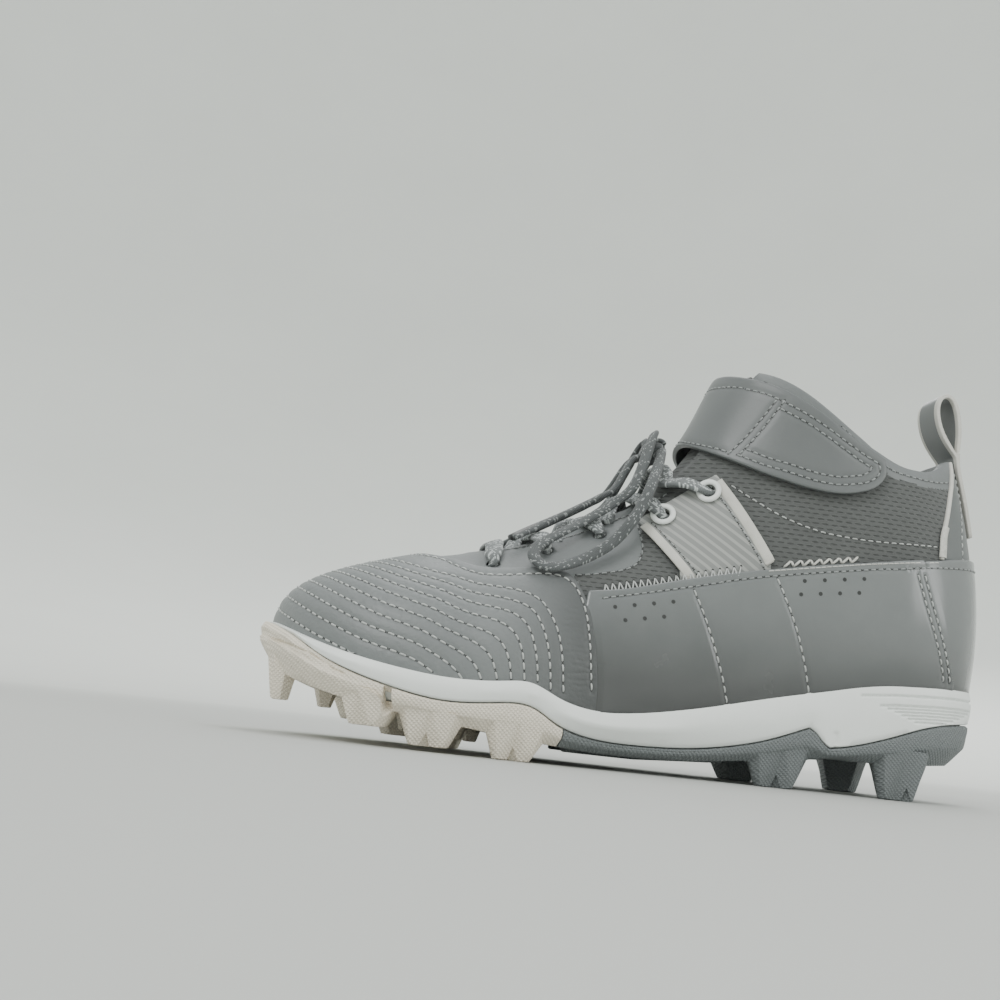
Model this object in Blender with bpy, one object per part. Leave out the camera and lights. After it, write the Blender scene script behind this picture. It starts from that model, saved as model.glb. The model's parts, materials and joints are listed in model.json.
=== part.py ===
"""Baseball cleat for the left foot, toe towards -X, outer side towards -Y, standing on its studs.

Sizes are in millimetres and become metres where a mesh is made. The shoe is worked out from
stations round the sole's outline. Each station is a vertical half plane through an axis point,
and a point in it has a distance from the axis (rho) and a height (z).
"""

import math
from collections import namedtuple

import bmesh
import bpy
import numpy as np
from mathutils import Matrix, Vector
from mathutils.bvhtree import BVHTree

MM = 0.001

# Driving sizes
LENGTH = 254.0
TOE_AXIS_X = -66.0
HEEL_AXIS_X = 88.0
TOE_ROUND = 2.3
HEEL_ROUND = 2.35
TOE_INFLARE = 6.0
GAP = 0.35
MIDDLE_X = 0.3

# Sole sizes
PLATE = 2.5
PLATE_WALL = 2.0
LIP_GAP = 0.5
BUMPER_LIP = 0.6
BUMPER_FALL = 1.2
PLATE_SPLIT_X = -36.0
PLATE_SPLIT_SLANT = -0.23
MEDIAL_LEAD = 20.0
SPOKE_SHARES = (0.0, 0.4, 0.75, 1.0)
ROUND_STEPS = 12

# Upper sizes
WALL = 2.2
FOOT_TUCK = 4.0
FOOT_SHARE = 0.08
COLLAR_PADDING = 2.0
POLE_SLOPE = 0.26
THROAT_START_X = -58.0
VAMP_SEAM_REACH = 11.0
THROAT_END_X = 36.0
OVERLAY = 1.0
OVERLAY_GAP = 0.45
TONGUE = 4.0
TONGUE_DIP = 4.6
TONGUE_END_X = 33.0
INSOLE = 3.5

# Lacing sizes
LACE_WIDTH = 6.4
LACE_THICK = 2.2
EYELET_HOLE = 2.5
EYELET_RING = 4.5

# Half widths of the sole's outline either side of the middle line
OUTLINE = (  # x, outer side, inner side
    (-66.0, 46.4, 47.0),
    (-50.0, 47.0, 45.8),
    (-30.0, 45.2, 41.5),
    (-10.0, 41.2, 36.8),
    (10.0, 37.8, 33.2),
    (30.0, 35.6, 31.6),
    (50.0, 34.2, 31.7),
    (70.0, 33.3, 32.5),
    (88.0, 33.0, 33.0),
)
# Underside of the plates between the studs, and the footbed that the midsole makes
LEVELS = (  # x, underside, footbed
    (-127.0, 23.5, 30.0),
    (-112.0, 18.0, 25.5),
    (-94.0, 13.4, 20.5),
    (-63.0, 9.4, 16.0),
    (-35.0, 6.6, 13.8),
    (-10.0, 4.8, 13.4),
    (15.0, 5.2, 16.4),
    (40.0, 8.0, 20.0),
    (64.0, 10.6, 23.0),
    (90.0, 11.8, 25.0),
    (127.0, 13.5, 26.0),
)
# Top line of the plates' side wall: bumper, forefoot wave, arch, and the two wings at the heel
WALL_TOP = (  # x, z
    (-127.0, 36.6),
    (-114.0, 31.4),
    (-106.0, 25.8),
    (-90.0, 20.4),
    (-63.0, 15.6),
    (-41.0, 18.0),
    (-35.0, 16.6),
    (-26.0, 11.0),
    (-8.0, 8.4),
    (14.0, 9.0),
    (36.0, 12.4),
    (50.0, 17.0),
    (58.5, 20.6),
    (62.0, 18.6),
    (65.0, 14.6),
    (69.0, 15.0),
    (84.0, 19.0),
    (105.0, 26.0),
    (127.0, 28.0),
)
# Top rim of the midsole, where the upper comes out of it
RIM = (  # x, z
    (-127.0, 36.8),
    (-112.0, 31.6),
    (-90.0, 26.4),
    (-60.0, 23.2),
    (-47.0, 24.4),
    (-39.0, 25.4),
    (-29.0, 21.0),
    (-15.0, 17.8),
    (4.0, 19.8),
    (33.0, 26.4),
    (64.0, 33.8),
    (87.0, 38.0),
    (127.0, 39.6),
)
# How far the side wall's top lies inside the outline, and how far its foot lies inside its top
UNDERCUT = (  # x, tuck, foot
    (-127.0, 0.0, 7.0),
    (-90.0, 0.3, 5.0),
    (-40.0, 0.6, 5.0),
    (-10.0, 3.2, 4.5),
    (25.0, 2.8, 4.5),
    (55.0, 0.8, 5.5),
    (90.0, 0.5, 6.5),
    (127.0, 0.6, 7.0),
)
# Profile of the upper at each station: a cubic curve from the midsole's rim to its top edge
LAST = (  # x, edge, bulge, bulge height, top half width, top height, reach, drop
    (-127.0, -5.6, -4.4, 51.0, 0.0, 51.0, 38.0, 0.0),
    (-105.0, -4.6, -3.4, 48.0, 0.0, 56.9, 34.0, 0.0),
    (-66.0, -2.8, -1.4, 43.0, 0.0, 67.0, 23.0, 0.0),
    (-58.0, -2.7, -1.2, 43.0, 0.0, 69.0, 22.0, 0.0),
    (-52.0, -2.6, -1.0, 43.0, 8.6, 69.6, 17.0, 3.0),
    (-30.0, -2.6, -0.4, 43.0, 11.6, 76.6, 16.5, 8.5),
    (-13.0, -2.6, -0.2, 44.0, 12.4, 85.4, 16.0, 12.0),
    (2.0, -2.6, 0.0, 45.0, 13.0, 95.0, 15.0, 15.0),
    (17.0, -2.6, 0.0, 46.0, 14.0, 111.0, 13.0, 20.0),
    (30.0, -2.6, 0.1, 48.0, 16.0, 135.5, 10.5, 30.0),
    (36.0, -2.6, 0.2, 49.0, 19.0, 143.5, 8.5, 36.0),
    (44.0, -2.6, 0.2, 50.0, 23.6, 141.8, 6.5, 40.0),
    (60.0, -2.6, 0.2, 53.0, 27.6, 131.5, 3.5, 38.0),
    (78.0, -2.6, 0.3, 56.0, 27.4, 119.0, 4.0, 34.0),
    (88.0, -2.6, 0.4, 58.0, 26.0, 114.8, 5.5, 32.0),
    (108.0, -2.6, 0.5, 60.0, 24.5, 115.5, 8.0, 32.0),
    (127.0, -2.6, 0.8, 62.0, 28.0, 124.0, 11.0, 34.0),
)
TOP_HALF = 4
TOP_HEIGHT = 5
# How far the middle of the instep stands above the throat's edges
CROWN = (  # x, rise
    (-58.0, 0.0),
    (-50.0, 1.0),
    (-30.0, 2.6),
    (0.0, 5.0),
    (17.0, 7.5),
    (36.0, 13.0),
)
# How far the tongue's sides go under the throat's edges, or stay inside them
TONGUE_LAP = (  # x, lap
    (-62.0, 8.0),
    (4.0, 8.0),
    (24.0, -2.2),
    (36.0, -2.8),
)
# Edges of the overlays on the upper
VAMP_SEAM = (  # x, z
    (-66.0, 63.2),
    (-58.0, 60.8),
    (-52.0, 60.4),
    (-40.0, 62.2),
    (-33.0, 63.2),
    (-28.0, 62.6),
    (-24.0, 59.4),
    (-21.0, 53.4),
    (-19.0, 46.0),
    (-17.4, 36.0),
    (-16.2, 24.0),
)
QUARTER_FRONT_X = -15.5
QUARTER_FRONT_LEAN = 5.0
QUARTER_TOP = (  # x, z
    (-21.0, 56.0),
    (11.0, 64.0),
    (38.0, 71.0),
    (75.0, 78.0),
    (100.0, 82.0),
    (127.0, 86.0),
)
HEEL_SEAM = 41.0
HEEL_SEAM_LEAN = 26.0
HEEL_SEAM_GAP = 1.2
SIDE_PANEL = (  # x, z, from the front upper corner round to the front lower corner
    (-3.0, 84.0),
    (23.0, 103.5),
    (42.5, 73.6),
    (11.5, 66.4),
)
# Lace holes up one side of the throat, the last two with rings
LACE_HOLES = (  # x, z, and the x where the lace crosses the throat's edge
    (-51.5, 63.6, -50.0),
    (-33.5, 70.6, -34.5),
    (-15.5, 78.6, -18.0),
    (5.5, 86.6, -1.5),
    (20.5, 96.8, 8.0),
)
# Main studs. The tip's height follows the toe spring.
STUDS = (  # plate, x, side, share of the half width, tip height, length, depth, inset, turn
    ("forefoot", -126.0, -1, 0.84, 11.0, 12.0, 8.6, 4.0, 0.0),
    ("forefoot", -97.0, -1, 0.78, 6.0, 20.0, 15.0, 1.3, 12.0),
    ("forefoot", -69.0, -1, 0.83, 1.6, 21.0, 15.0, 1.3, 6.0),
    ("forefoot", -41.0, -1, 0.83, 0.0, 20.0, 15.0, 1.3, -6.0),
    ("forefoot", -100.0, 1, 0.74, 6.6, 19.0, 15.0, 1.3, -12.0),
    ("forefoot", -77.0, 1, 0.82, 2.6, 20.0, 15.0, 1.3, -6.0),
    ("forefoot", -56.0, 1, 0.82, 0.0, 20.0, 15.0, 1.3, 4.0),
    ("rear", -29.0, 1, 0.78, 0.0, 21.0, 15.0, 1.3, 8.0),
    ("rear", 50.0, -1, 0.78, 0.0, 22.0, 15.0, 1.3, -4.0),
    ("rear", 96.0, -1, 0.80, 0.0, 20.0, 15.0, 1.3, 10.0),
    ("rear", 52.0, 1, 0.78, 0.0, 22.0, 15.0, 1.3, 4.0),
    ("rear", 97.0, 1, 0.80, 0.0, 20.0, 15.0, 1.3, -10.0),
)
STUD_TIP_SHARE = 0.62
STUD_ROOT = 4.6
STUD_SINK = 0.5
SMALL_STUDS = (  # x, y, tip height
    (-101.0, 2.0, 10.0),
    (-88.0, -12.0, 7.6),
    (-84.0, 10.0, 7.0),
    (-73.0, -6.0, 5.4),
    (-64.0, 12.0, 4.6),
    (-57.0, -14.0, 4.2),
    (-50.0, 2.0, 3.8),
)
SMALL_STUD = 9.0

# Strap round the ankle, by the angle from the front of the shoe about an upright axis
STRAP_AXIS_X = 60.0
STRAP = (  # angle in degrees, lower edge, upper edge
    (-127.0, 110.5, 115.0),
    (-123.0, 106.4, 116.4),
    (-115.0, 103.0, 118.6),
    (-96.0, 100.6, 124.6),
    (-80.0, 101.0, 129.6),
    (-50.0, 105.0, 137.5),
    (-30.0, 110.0, 140.5),
    (0.0, 116.0, 143.0),
    (30.0, 110.0, 140.5),
    (50.0, 105.0, 137.5),
    (80.0, 101.0, 129.6),
    (104.0, 101.0, 121.5),
)
STRAP_STEPS = 20
STRAP_THICK = 2.0

# Pull tab: the loop's middle line and the strip down the heel
TAB_WIDTH = 16.0
TAB_THICK = 1.6
TAB_LOOP = (  # x, z
    (117.6, 126.0),
    (118.3, 133.0),
    (117.6, 141.0),
    (115.6, 146.8),
    (112.8, 148.6),
    (109.9, 146.6),
    (109.3, 141.0),
    (112.0, 133.0),
)
TAB_TAIL_Z = (96.0, 104.0, 112.0, 119.0, 124.0, 127.0)

# Bow: routes of the lace's loops and ends over the lacing, as points on the instep
KNOT_SPOT = (10.0, 0.0)  # x, y
KNOT_SIZE = (6.6, 7.6, 4.4)
KNOT_GAP = 1.4
LOOP_WAYS = ((0.2, 0.9, 0.4), (-0.1, 0.95, -0.22))  # out of the knot: ahead, out, up
END_WAY = (0.8, 0.36, -0.48)
LOOP_OUTER = (  # x, y, height over the instep
    (-1.0, -13.4, 8.4),
    (-9.0, -14.4, 6.0),
    (-19.0, -15.8, 4.8),
    (-30.0, -18.4, 4.6),
    (-36.6, -21.6, 4.2),
    (-38.0, -25.8, 3.8),
    (-33.0, -28.6, 3.6),
    (-23.0, -27.4, 3.8),
    (-12.0, -25.0, 5.4),
    (-3.0, -21.6, 9.0),
    (4.0, -17.0, 9.6),
)
LOOP_INNER = tuple((x - 1.0, -y, lift) for x, y, lift in LOOP_OUTER)
END_OUTER = (
    (-6.0, -4.4, 5.4),
    (-12.0, -4.4, 4.8),
    (-20.0, -5.0, 4.8),
    (-30.0, -7.0, 4.6),
    (-38.0, -10.6, 4.4),
    (-44.0, -14.0, 4.4),
)
END_INNER = tuple((x - 1.0, -y, lift) for x, y, lift in END_OUTER)

# Colours
GRAY_LEATHER = (0.23, 0.245, 0.25, 1.0)
GRAY_GLOSS = (0.21, 0.225, 0.23, 1.0)
GRAY_TEXTILE = (0.17, 0.18, 0.185, 1.0)
GRAY_RUBBER = (0.19, 0.21, 0.22, 1.0)
OFF_WHITE = (0.60, 0.58, 0.53, 1.0)
WHITE = (0.80, 0.80, 0.80, 1.0)
PALE = (0.50, 0.50, 0.48, 1.0)
LACE_GRAY = (0.14, 0.15, 0.16, 1.0)

OUTER = -1
INNER = 1
Station = namedtuple("Station", "ax dx dy rho x side kind value")


def clear_scene():
    for item in list(bpy.data.objects):
        bpy.data.objects.remove(item)


def make_material(name, colour, roughness):
    made = bpy.data.materials.new(name)
    made.use_nodes = True
    shader = made.node_tree.nodes["Principled BSDF"]
    shader.inputs["Base Color"].default_value = colour
    shader.inputs["Roughness"].default_value = roughness
    return made


def follow(table, x, column=1):
    """A smooth curve through one column of a table, with no overshoot between its rows."""
    xs = [row[0] for row in table]
    ys = [row[column] for row in table]
    x = min(max(x, xs[0]), xs[-1])
    i = min(max(int(np.searchsorted(xs, x)) - 1, 0), len(xs) - 2)

    def slope(k):
        if k == 0 or k == len(xs) - 1:
            return 0.0
        before = (ys[k] - ys[k - 1]) / (xs[k] - xs[k - 1])
        after = (ys[k + 1] - ys[k]) / (xs[k + 1] - xs[k])
        if before * after <= 0.0:
            return 0.0
        return 2.0 * before * after / (before + after)

    wide = xs[i + 1] - xs[i]
    s = (x - xs[i]) / wide
    start = ys[i] * (1 + 2 * s) * (1 - s) ** 2 + slope(i) * wide * s * (1 - s) ** 2
    end = ys[i + 1] * s * s * (3 - 2 * s) + slope(i + 1) * wide * s * s * (s - 1)
    return start + end


# Stations round the outline


def half_width(x, side):
    return follow(OUTLINE, x, 1 if side == OUTER else 2)


def round_end(long, wide, along, across, power):
    return 1.0 / ((abs(along) / long) ** power + (abs(across) / wide) ** power) ** (1.0 / power)


def side_station(x, side):
    return Station(x, 0.0, float(side), half_width(x, side), x, side, "side", x)


def toe_station(angle):
    """Angle 0 looks to the outer side, 90 to the toe's tip and 180 to the inner side."""
    dx = -math.sin(math.radians(angle))
    dy = -math.cos(math.radians(angle))
    side = OUTER if angle <= 90.0 else INNER
    reach = LENGTH / 2 + TOE_AXIS_X
    rho = round_end(reach, half_width(TOE_AXIS_X, side), dx, dy, TOE_ROUND)
    return Station(TOE_AXIS_X, dx, dy, rho, TOE_AXIS_X + rho * dx, side, "toe", angle)


def heel_station(angle):
    """Angle 0 looks to the outer side, 90 to the back of the heel and 180 to the inner side."""
    dx = math.sin(math.radians(angle))
    dy = -math.cos(math.radians(angle))
    side = OUTER if angle <= 90.0 else INNER
    reach = LENGTH / 2 - HEEL_AXIS_X
    rho = round_end(reach, half_width(HEEL_AXIS_X, side), dx, dy, HEEL_ROUND)
    return Station(HEEL_AXIS_X, dx, dy, rho, HEEL_AXIS_X + rho * dx, side, "heel", angle)


def nearby(station, step):
    """The station a little further along the same stretch of the outline."""
    if station.kind == "toe":
        return toe_station(min(max(station.value + step, 0.0), 180.0))
    if station.kind == "heel":
        return heel_station(min(max(station.value + step, 0.0), 180.0))
    x = min(max(station.value + step, TOE_AXIS_X), HEEL_AXIS_X)
    return side_station(x, station.side)


def ring(xs, toe_steps, heel_steps):
    """Stations once round the outline: heel, outer side, toe, inner side, heel."""
    toe = [toe_station(180.0 * i / toe_steps) for i in range(1, toe_steps)]
    heel = [heel_station(180.0 * i / heel_steps) for i in range(1, heel_steps)]
    half = len(heel) // 2
    outer = [side_station(x, OUTER) for x in reversed(xs)]
    inner = [side_station(x, INNER) for x in xs]
    return heel[half::-1] + outer + toe + inner + heel[:half:-1]


def place(station, rho, z):
    x = station.ax + rho * station.dx
    ahead = max(0.0, (TOE_AXIS_X - x) / (LENGTH / 2 + TOE_AXIS_X))
    return Vector((x, rho * station.dy + TOE_INFLARE * ahead ** 2, z))


def line_x(station):
    """Where the sole's side lines are read: on the inner side they lie further forward."""
    if station.side == OUTER:
        return station.x
    return station.x + MEDIAL_LEAD * math.exp(-(((station.x + 45.0) / 30.0) ** 2))


def underside(station, rho=None):
    """Height of the plates' underside, at the outline or at a distance from the axis."""
    x = station.x if rho is None else station.ax + rho * station.dx
    return follow(LEVELS, x, 1)


def footbed(station, rho=None):
    x = station.x if rho is None else station.ax + rho * station.dx
    return follow(LEVELS, x, 2)


def spokes(station, height, edge, lift):
    """Points from the axis out to an edge, along the underside or the footbed."""
    return tuple((edge * s, height(station, edge * s) + lift) for s in SPOKE_SHARES)


def wall_top(station):
    return max(follow(WALL_TOP, line_x(station)), underside(station) + PLATE + 0.9)


def rim(station):
    return max(follow(RIM, line_x(station)), footbed(station) + 3.4)


# The last: the outer surface of the upper


def last_curve(station):
    """Four control points of the profile, as pairs of rho and z."""
    edge, bulge, bulge_z, top, top_z, reach, drop = (
        follow(LAST, station.x, column) for column in range(1, len(LAST[0]))
    )
    if station.kind == "toe":
        top_z = follow(LAST, TOE_AXIS_X, TOP_HEIGHT)
        drop = POLE_SLOPE * reach * -station.dx
    return (
        (station.rho + edge, rim(station)),
        (station.rho + bulge, bulge_z),
        (top + reach, top_z - drop),
        (top, top_z),
    )


def last_at(station, t):
    """Rho and z at a share of the profile, whose first stretch turns in to the footbed."""
    a, b, c, d = last_curve(station)
    if t < FOOT_SHARE:
        s = t / FOOT_SHARE
        foot = footbed(station) + GAP + 0.1
        return a[0] - FOOT_TUCK * (1.0 - s), foot + (a[1] - foot) * s
    t = (t - FOOT_SHARE) / (1.0 - FOOT_SHARE)
    weights = ((1 - t) ** 3, 3 * t * (1 - t) ** 2, 3 * t * t * (1 - t), t ** 3)
    rho = sum(w * p[0] for w, p in zip(weights, (a, b, c, d)))
    z = sum(w * p[1] for w, p in zip(weights, (a, b, c, d)))
    return rho, z


def closed_on_top(station):
    return station.kind == "toe" or station.x <= THROAT_START_X


def last_point(station, t, offset=0.0):
    here = place(station, *last_at(station, t))
    if offset == 0.0:
        return here
    if t == 1.0 and closed_on_top(station):
        return here + Vector((-POLE_SLOPE, 0.0, 1.0)).normalized() * offset
    step = 0.4 if station.kind == "side" else 0.6
    along = place(nearby(station, step), *last_at(nearby(station, step), t)) - place(
        nearby(station, -step), *last_at(nearby(station, -step), t)
    )
    up = place(station, *last_at(station, min(t + 0.004, 1.0))) - place(
        station, *last_at(station, max(t - 0.004, 0.0))
    )
    normal = along.cross(up).normalized()
    if normal.dot(Vector((station.dx, station.dy, 0.5))) < 0.0:
        normal = -normal
    return here + normal * offset


def height_share(station, z):
    """The share of the profile's length at which it reaches a height."""
    low, high = 0.0, 1.0
    for _ in range(30):
        middle = (low + high) / 2
        if last_at(station, middle)[1] < z:
            low = middle
        else:
            high = middle
    return (low + high) / 2


def width_share(station, rho):
    """The share of the profile's length at which it comes in to a distance from the axis."""
    low, high = 0.35, 1.0
    for _ in range(30):
        middle = (low + high) / 2
        if last_at(station, middle)[0] > rho:
            low = middle
        else:
            high = middle
    return (low + high) / 2


def wall_point(station, z, offset=0.0):
    return last_point(station, height_share(station, z), offset)


def wall_rho(station, z):
    return last_at(station, height_share(station, z))[0]


def wall_thickness(station, t):
    """The collar is padded, the rest of the wall is plain."""
    z = last_at(station, t)[1]
    padded = min(max((z - 84.0) / 26.0, 0.0), 1.0) * min(max((station.x - 22.0) / 20.0, 0.0), 1.0)
    return WALL + COLLAR_PADDING * padded


# The instep, closed over the throat, as a height over x and y


def instep_height(x, y):
    x_on = min(max(x, TOE_AXIS_X), THROAT_END_X)
    station = side_station(x_on, OUTER if y <= 0.0 else INNER)
    edge = follow(LAST, x_on, TOP_HALF)
    beyond = x - x_on
    slope = POLE_SLOPE if beyond < 0.0 else 2.0
    if abs(y) < edge:
        rise = follow(CROWN, x_on) * (1.0 - (y / edge) ** 2)
        return follow(LAST, x_on, TOP_HEIGHT) + rise + slope * beyond
    return last_at(station, width_share(station, abs(y)))[1] + slope * beyond


def instep_normal(x, y):
    step = 0.5
    dx = (instep_height(x + step, y) - instep_height(x - step, y)) / (2 * step)
    dy = (instep_height(x, y + step) - instep_height(x, y - step)) / (2 * step)
    return Vector((-dx, -dy, 1.0)).normalized()


def instep_point(x, y, offset=0.0):
    return Vector((x, y, instep_height(x, y))) + instep_normal(x, y) * offset


# Meshes


def add_object(name, points, faces, material):
    """A named object from points in millimetres, with doubles merged and faces turned outwards."""
    mesh = bpy.data.meshes.new(name)
    middle = Vector((MIDDLE_X, 0.0, 0.0))
    mesh.from_pydata([(Vector(point) - middle) * MM for point in points], [], faces)
    work = bmesh.new()
    work.from_mesh(mesh)
    bmesh.ops.remove_doubles(work, verts=work.verts, dist=1e-6)
    bmesh.ops.dissolve_degenerate(work, edges=work.edges, dist=1e-6)
    bmesh.ops.triangulate(work, faces=work.faces, quad_method="SHORT_EDGE")
    bmesh.ops.recalc_face_normals(work, faces=work.faces)
    work.to_mesh(mesh)
    work.free()
    mesh.materials.append(material)
    mesh.shade_smooth()
    mesh.set_sharp_from_angle(angle=math.radians(40.0))
    made = bpy.data.objects.new(name, mesh)
    bpy.context.scene.collection.objects.link(made)
    return made


def add_cutter(name, points, faces, material):
    made = add_object(name, points, faces, material)
    made.hide_render = True
    made.display_type = "WIRE"
    return made


def combine(target, other, operation):
    step = target.modifiers.new(operation.lower(), "BOOLEAN")
    step.operation = operation
    step.solver = "EXACT"
    step.object = other


def loops_to_faces(count, size, closed_rows, closed_loop):
    """Quads between neighbouring loops of points, each loop with the same number of points."""
    faces = []
    for i in range(count if closed_rows else count - 1):
        j = (i + 1) % count
        for k in range(size if closed_loop else size - 1):
            m = (k + 1) % size
            faces.append((i * size + k, j * size + k, j * size + m, i * size + m))
    return faces


def turned_solid(name, stations, profile, material):
    """A solid from a profile at each station that starts and ends on the station's axis."""
    points = []
    for station in stations:
        points.extend(place(station, rho, z) for rho, z in profile(station))
    size = len(profile(stations[0]))
    return add_object(name, points, loops_to_faces(len(stations), size, True, False), material)


def shell_patch(name, columns, material):
    """A thin closed solid from columns of pairs of points, inner and outer."""
    size = len(columns[0])
    points = []
    for column in columns:
        points.extend(pair[0] for pair in column)
        points.extend(pair[1] for pair in reversed(column))
    faces = loops_to_faces(len(columns), 2 * size, False, True)
    for start in (0, (len(columns) - 1) * 2 * size):
        for k in range(size - 1):
            far = 2 * size - 1 - k
            faces.append((start + k, start + k + 1, start + far - 1, start + far))
    return add_object(name, points, faces, material)


def smooth_route(points, steps):
    """Points on a smooth curve through a route's own points."""
    route = [Vector(p) for p in points]
    made = []
    for i in range(len(route) - 1):
        a = route[max(i - 1, 0)]
        b, c = route[i], route[i + 1]
        d = route[min(i + 2, len(route) - 1)]
        for k in range(steps):
            s = k / steps
            made.append(
                0.5
                * (
                    2 * b
                    + (c - a) * s
                    + (2 * a - 5 * b + 4 * c - d) * s * s
                    + (3 * b - a - 3 * c + d) * s ** 3
                )
            )
    made.append(route[-1])
    return made


def flat_tube(route, normals, width, thick, sides=6):
    """Points and faces of a flat lace along a route, its broad side facing along the normals."""
    points = []
    for i, here in enumerate(route):
        ahead = (route[min(i + 1, len(route) - 1)] - route[max(i - 1, 0)]).normalized()
        across = ahead.cross(normals[i]).normalized()
        up = across.cross(ahead)
        for k in range(sides):
            turn = 2 * math.pi * (k + 0.5) / sides
            points.append(
                here + across * math.cos(turn) * width / 2 + up * math.sin(turn) * thick / 2
            )
    faces = loops_to_faces(len(route), sides, False, True)
    faces.append(tuple(range(sides)))
    faces.append(tuple(range((len(route) - 1) * sides, len(route) * sides)))
    return points, faces


# Sole


def midsole_profile(station):
    rho = station.rho
    line = wall_top(station) + LIP_GAP
    top = rim(station)
    tuck, foot = (follow(UNDERCUT, station.x, c) for c in (1, 2))
    lip = min(max((top - line) / 4.0, 0.0), 1.0)
    inside = rho - tuck - PLATE_WALL - LIP_GAP
    line = min(line, top - 0.3)
    outside = inside + lip * (PLATE_WALL + LIP_GAP)
    crease = line + 0.5 * (top - line)
    edge = max(outside, inside + lip * (rho - inside))
    inner = wall_rho(station, top) + GAP
    bed = footbed(station)
    return spokes(station, underside, inside - foot + 1.0, PLATE + GAP) + (
        (inside, line - 0.2),
        (outside, line),
        (edge + 0.5 * lip, crease),
        (edge - 0.2 * lip, top - 0.9 * lip - 0.1),
        (min(edge - 0.8 * lip, edge), top),
        (inner, top),
        (wall_rho(station, (bed + top) / 2) + GAP + 0.1, (bed + top) / 2),
    ) + spokes(station, footbed, wall_rho(station, bed + GAP + 0.2) + GAP, 0.0)[::-1]


def plate_profile(station):
    low = underside(station)
    top = wall_top(station)
    tuck, foot = (follow(UNDERCUT, station.x, c) for c in (1, 2))
    outside = station.rho - tuck
    bumper = min(max((-92.0 - station.x) / 20.0, 0.0), 1.0)
    step_z = low + 0.62 * (top - low)
    return spokes(station, underside, outside - foot, 0.0) + (
        (outside - 1.0, low + 0.45 * (top - low)),
        (outside - 0.5 + 0.5 * bumper, step_z),
        (outside - 0.4 - 0.5 * bumper, step_z + 0.6),
        (outside - 0.2 - (0.5 * BUMPER_LIP - 0.2) * bumper, top - 0.6 - BUMPER_FALL * bumper),
        (outside - 0.7 - BUMPER_LIP * bumper, top),
        (outside - PLATE_WALL, top),
    ) + spokes(station, underside, outside - foot - 0.6, PLATE)[::-1]


def stud_solid(x, side, share, tip_z, long, deep, inset, turn):
    """One main stud: broad root on the side wall, narrow tip, with a notch in its outer face."""
    if x < TOE_AXIS_X:
        angle = math.degrees(math.asin(min(1.0, (TOE_AXIS_X - x) / 62.0)))
        station = toe_station(angle if side == OUTER else 180.0 - angle)
    elif x > HEEL_AXIS_X:
        angle = math.degrees(math.asin(min(1.0, (x - HEEL_AXIS_X) / 39.0)))
        station = heel_station(angle if side == OUTER else 180.0 - angle)
    else:
        station = side_station(x, side)
    low = underside(station)
    root = place(station, station.rho * share, low)
    out = Vector((station.dx, station.dy, 0.0))
    spin = math.radians(turn) * side
    out = Vector(
        (out.x * math.cos(spin) - out.y * math.sin(spin), out.x * math.sin(spin) + out.y * math.cos(spin), 0)
    )
    along = Vector((-out.y, out.x, 0.0))
    climb = min(STUD_ROOT, 0.55 * (wall_top(station) - low))
    reach = station.rho * (1.0 - share) - follow(UNDERCUT, station.x) - inset
    half = long / 2
    back = deep - reach
    base = (
        (half * 0.80, reach, climb),
        (0.0, reach + 0.3, climb + 0.5),
        (-half * 0.80, reach, climb),
        (-half, reach - 4.4, PLATE * STUD_SINK),
        (-half * 0.66, -back, PLATE * STUD_SINK),
        (half * 0.66, -back, PLATE * STUD_SINK),
        (half, reach - 4.4, PLATE * STUD_SINK),
    )
    notch = 2.4
    middle = (reach - back) / 2 - 0.6
    tip = (
        (half * 0.78, deep * 0.5),
        (-half * 0.1, deep * 0.5 - notch / STUD_TIP_SHARE),
        (-half * 0.84, deep * 0.44),
        (-half, deep * 0.1),
        (-half * 0.6, -deep * 0.5),
        (half * 0.6, -deep * 0.5),
        (half, deep * 0.1),
    )
    points = []
    for u, v, lift in base:
        spot = root + along * u + out * v
        points.append(Vector((spot.x, spot.y, follow(LEVELS, spot.x) + lift)))
    for u, v in tip:
        spot = root + along * u * STUD_TIP_SHARE + out * (middle + v * STUD_TIP_SHARE)
        points.append(Vector((spot.x, spot.y, tip_z)))
    faces = [(k, (k + 1) % 7, 7 + (k + 1) % 7, 7 + k) for k in range(7)]
    faces += [(0, 1, 2, 3, 6), (3, 4, 5, 6), (7, 8, 9, 10, 11, 12, 13)]
    return points, faces


def small_stud_solid(x, y, tip_z):
    base_z = follow(LEVELS, x, 1) + PLATE * 0.6
    points = []
    for size, z in ((SMALL_STUD, base_z), (SMALL_STUD * 0.55, tip_z)):
        for k in range(5):
            turn = math.radians(72.0 * k + 18.0)
            points.append(
                Vector((x + size / 2 * math.cos(turn), y + size / 2 * math.sin(turn), z))
            )
    faces = [(k, (k + 1) % 5, 5 + (k + 1) % 5, 5 + k) for k in range(5)]
    return points, faces + [(0, 1, 2, 3, 4), (5, 6, 7, 8, 9)]


def arch_rib_solid(start, end):
    """One of the crossed ribs under the arch, from one spot on the underside to another."""
    a, b = Vector(start), Vector(end)
    across = Vector((a.y - b.y, b.x - a.x)).normalized() * 1.6
    points = []
    for spot in (a, (a + b) / 2, b):
        low = follow(LEVELS, spot.x, 1)
        for sway, z in ((1.0, low + 1.2), (0.6, low - 1.2), (-0.6, low - 1.2), (-1.0, low + 1.2)):
            points.append(Vector((spot.x + across.x * sway, spot.y + across.y * sway, z)))
    faces = loops_to_faces(3, 4, False, True)
    return points, faces + [(0, 1, 2, 3), (8, 9, 10, 11)]


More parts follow.
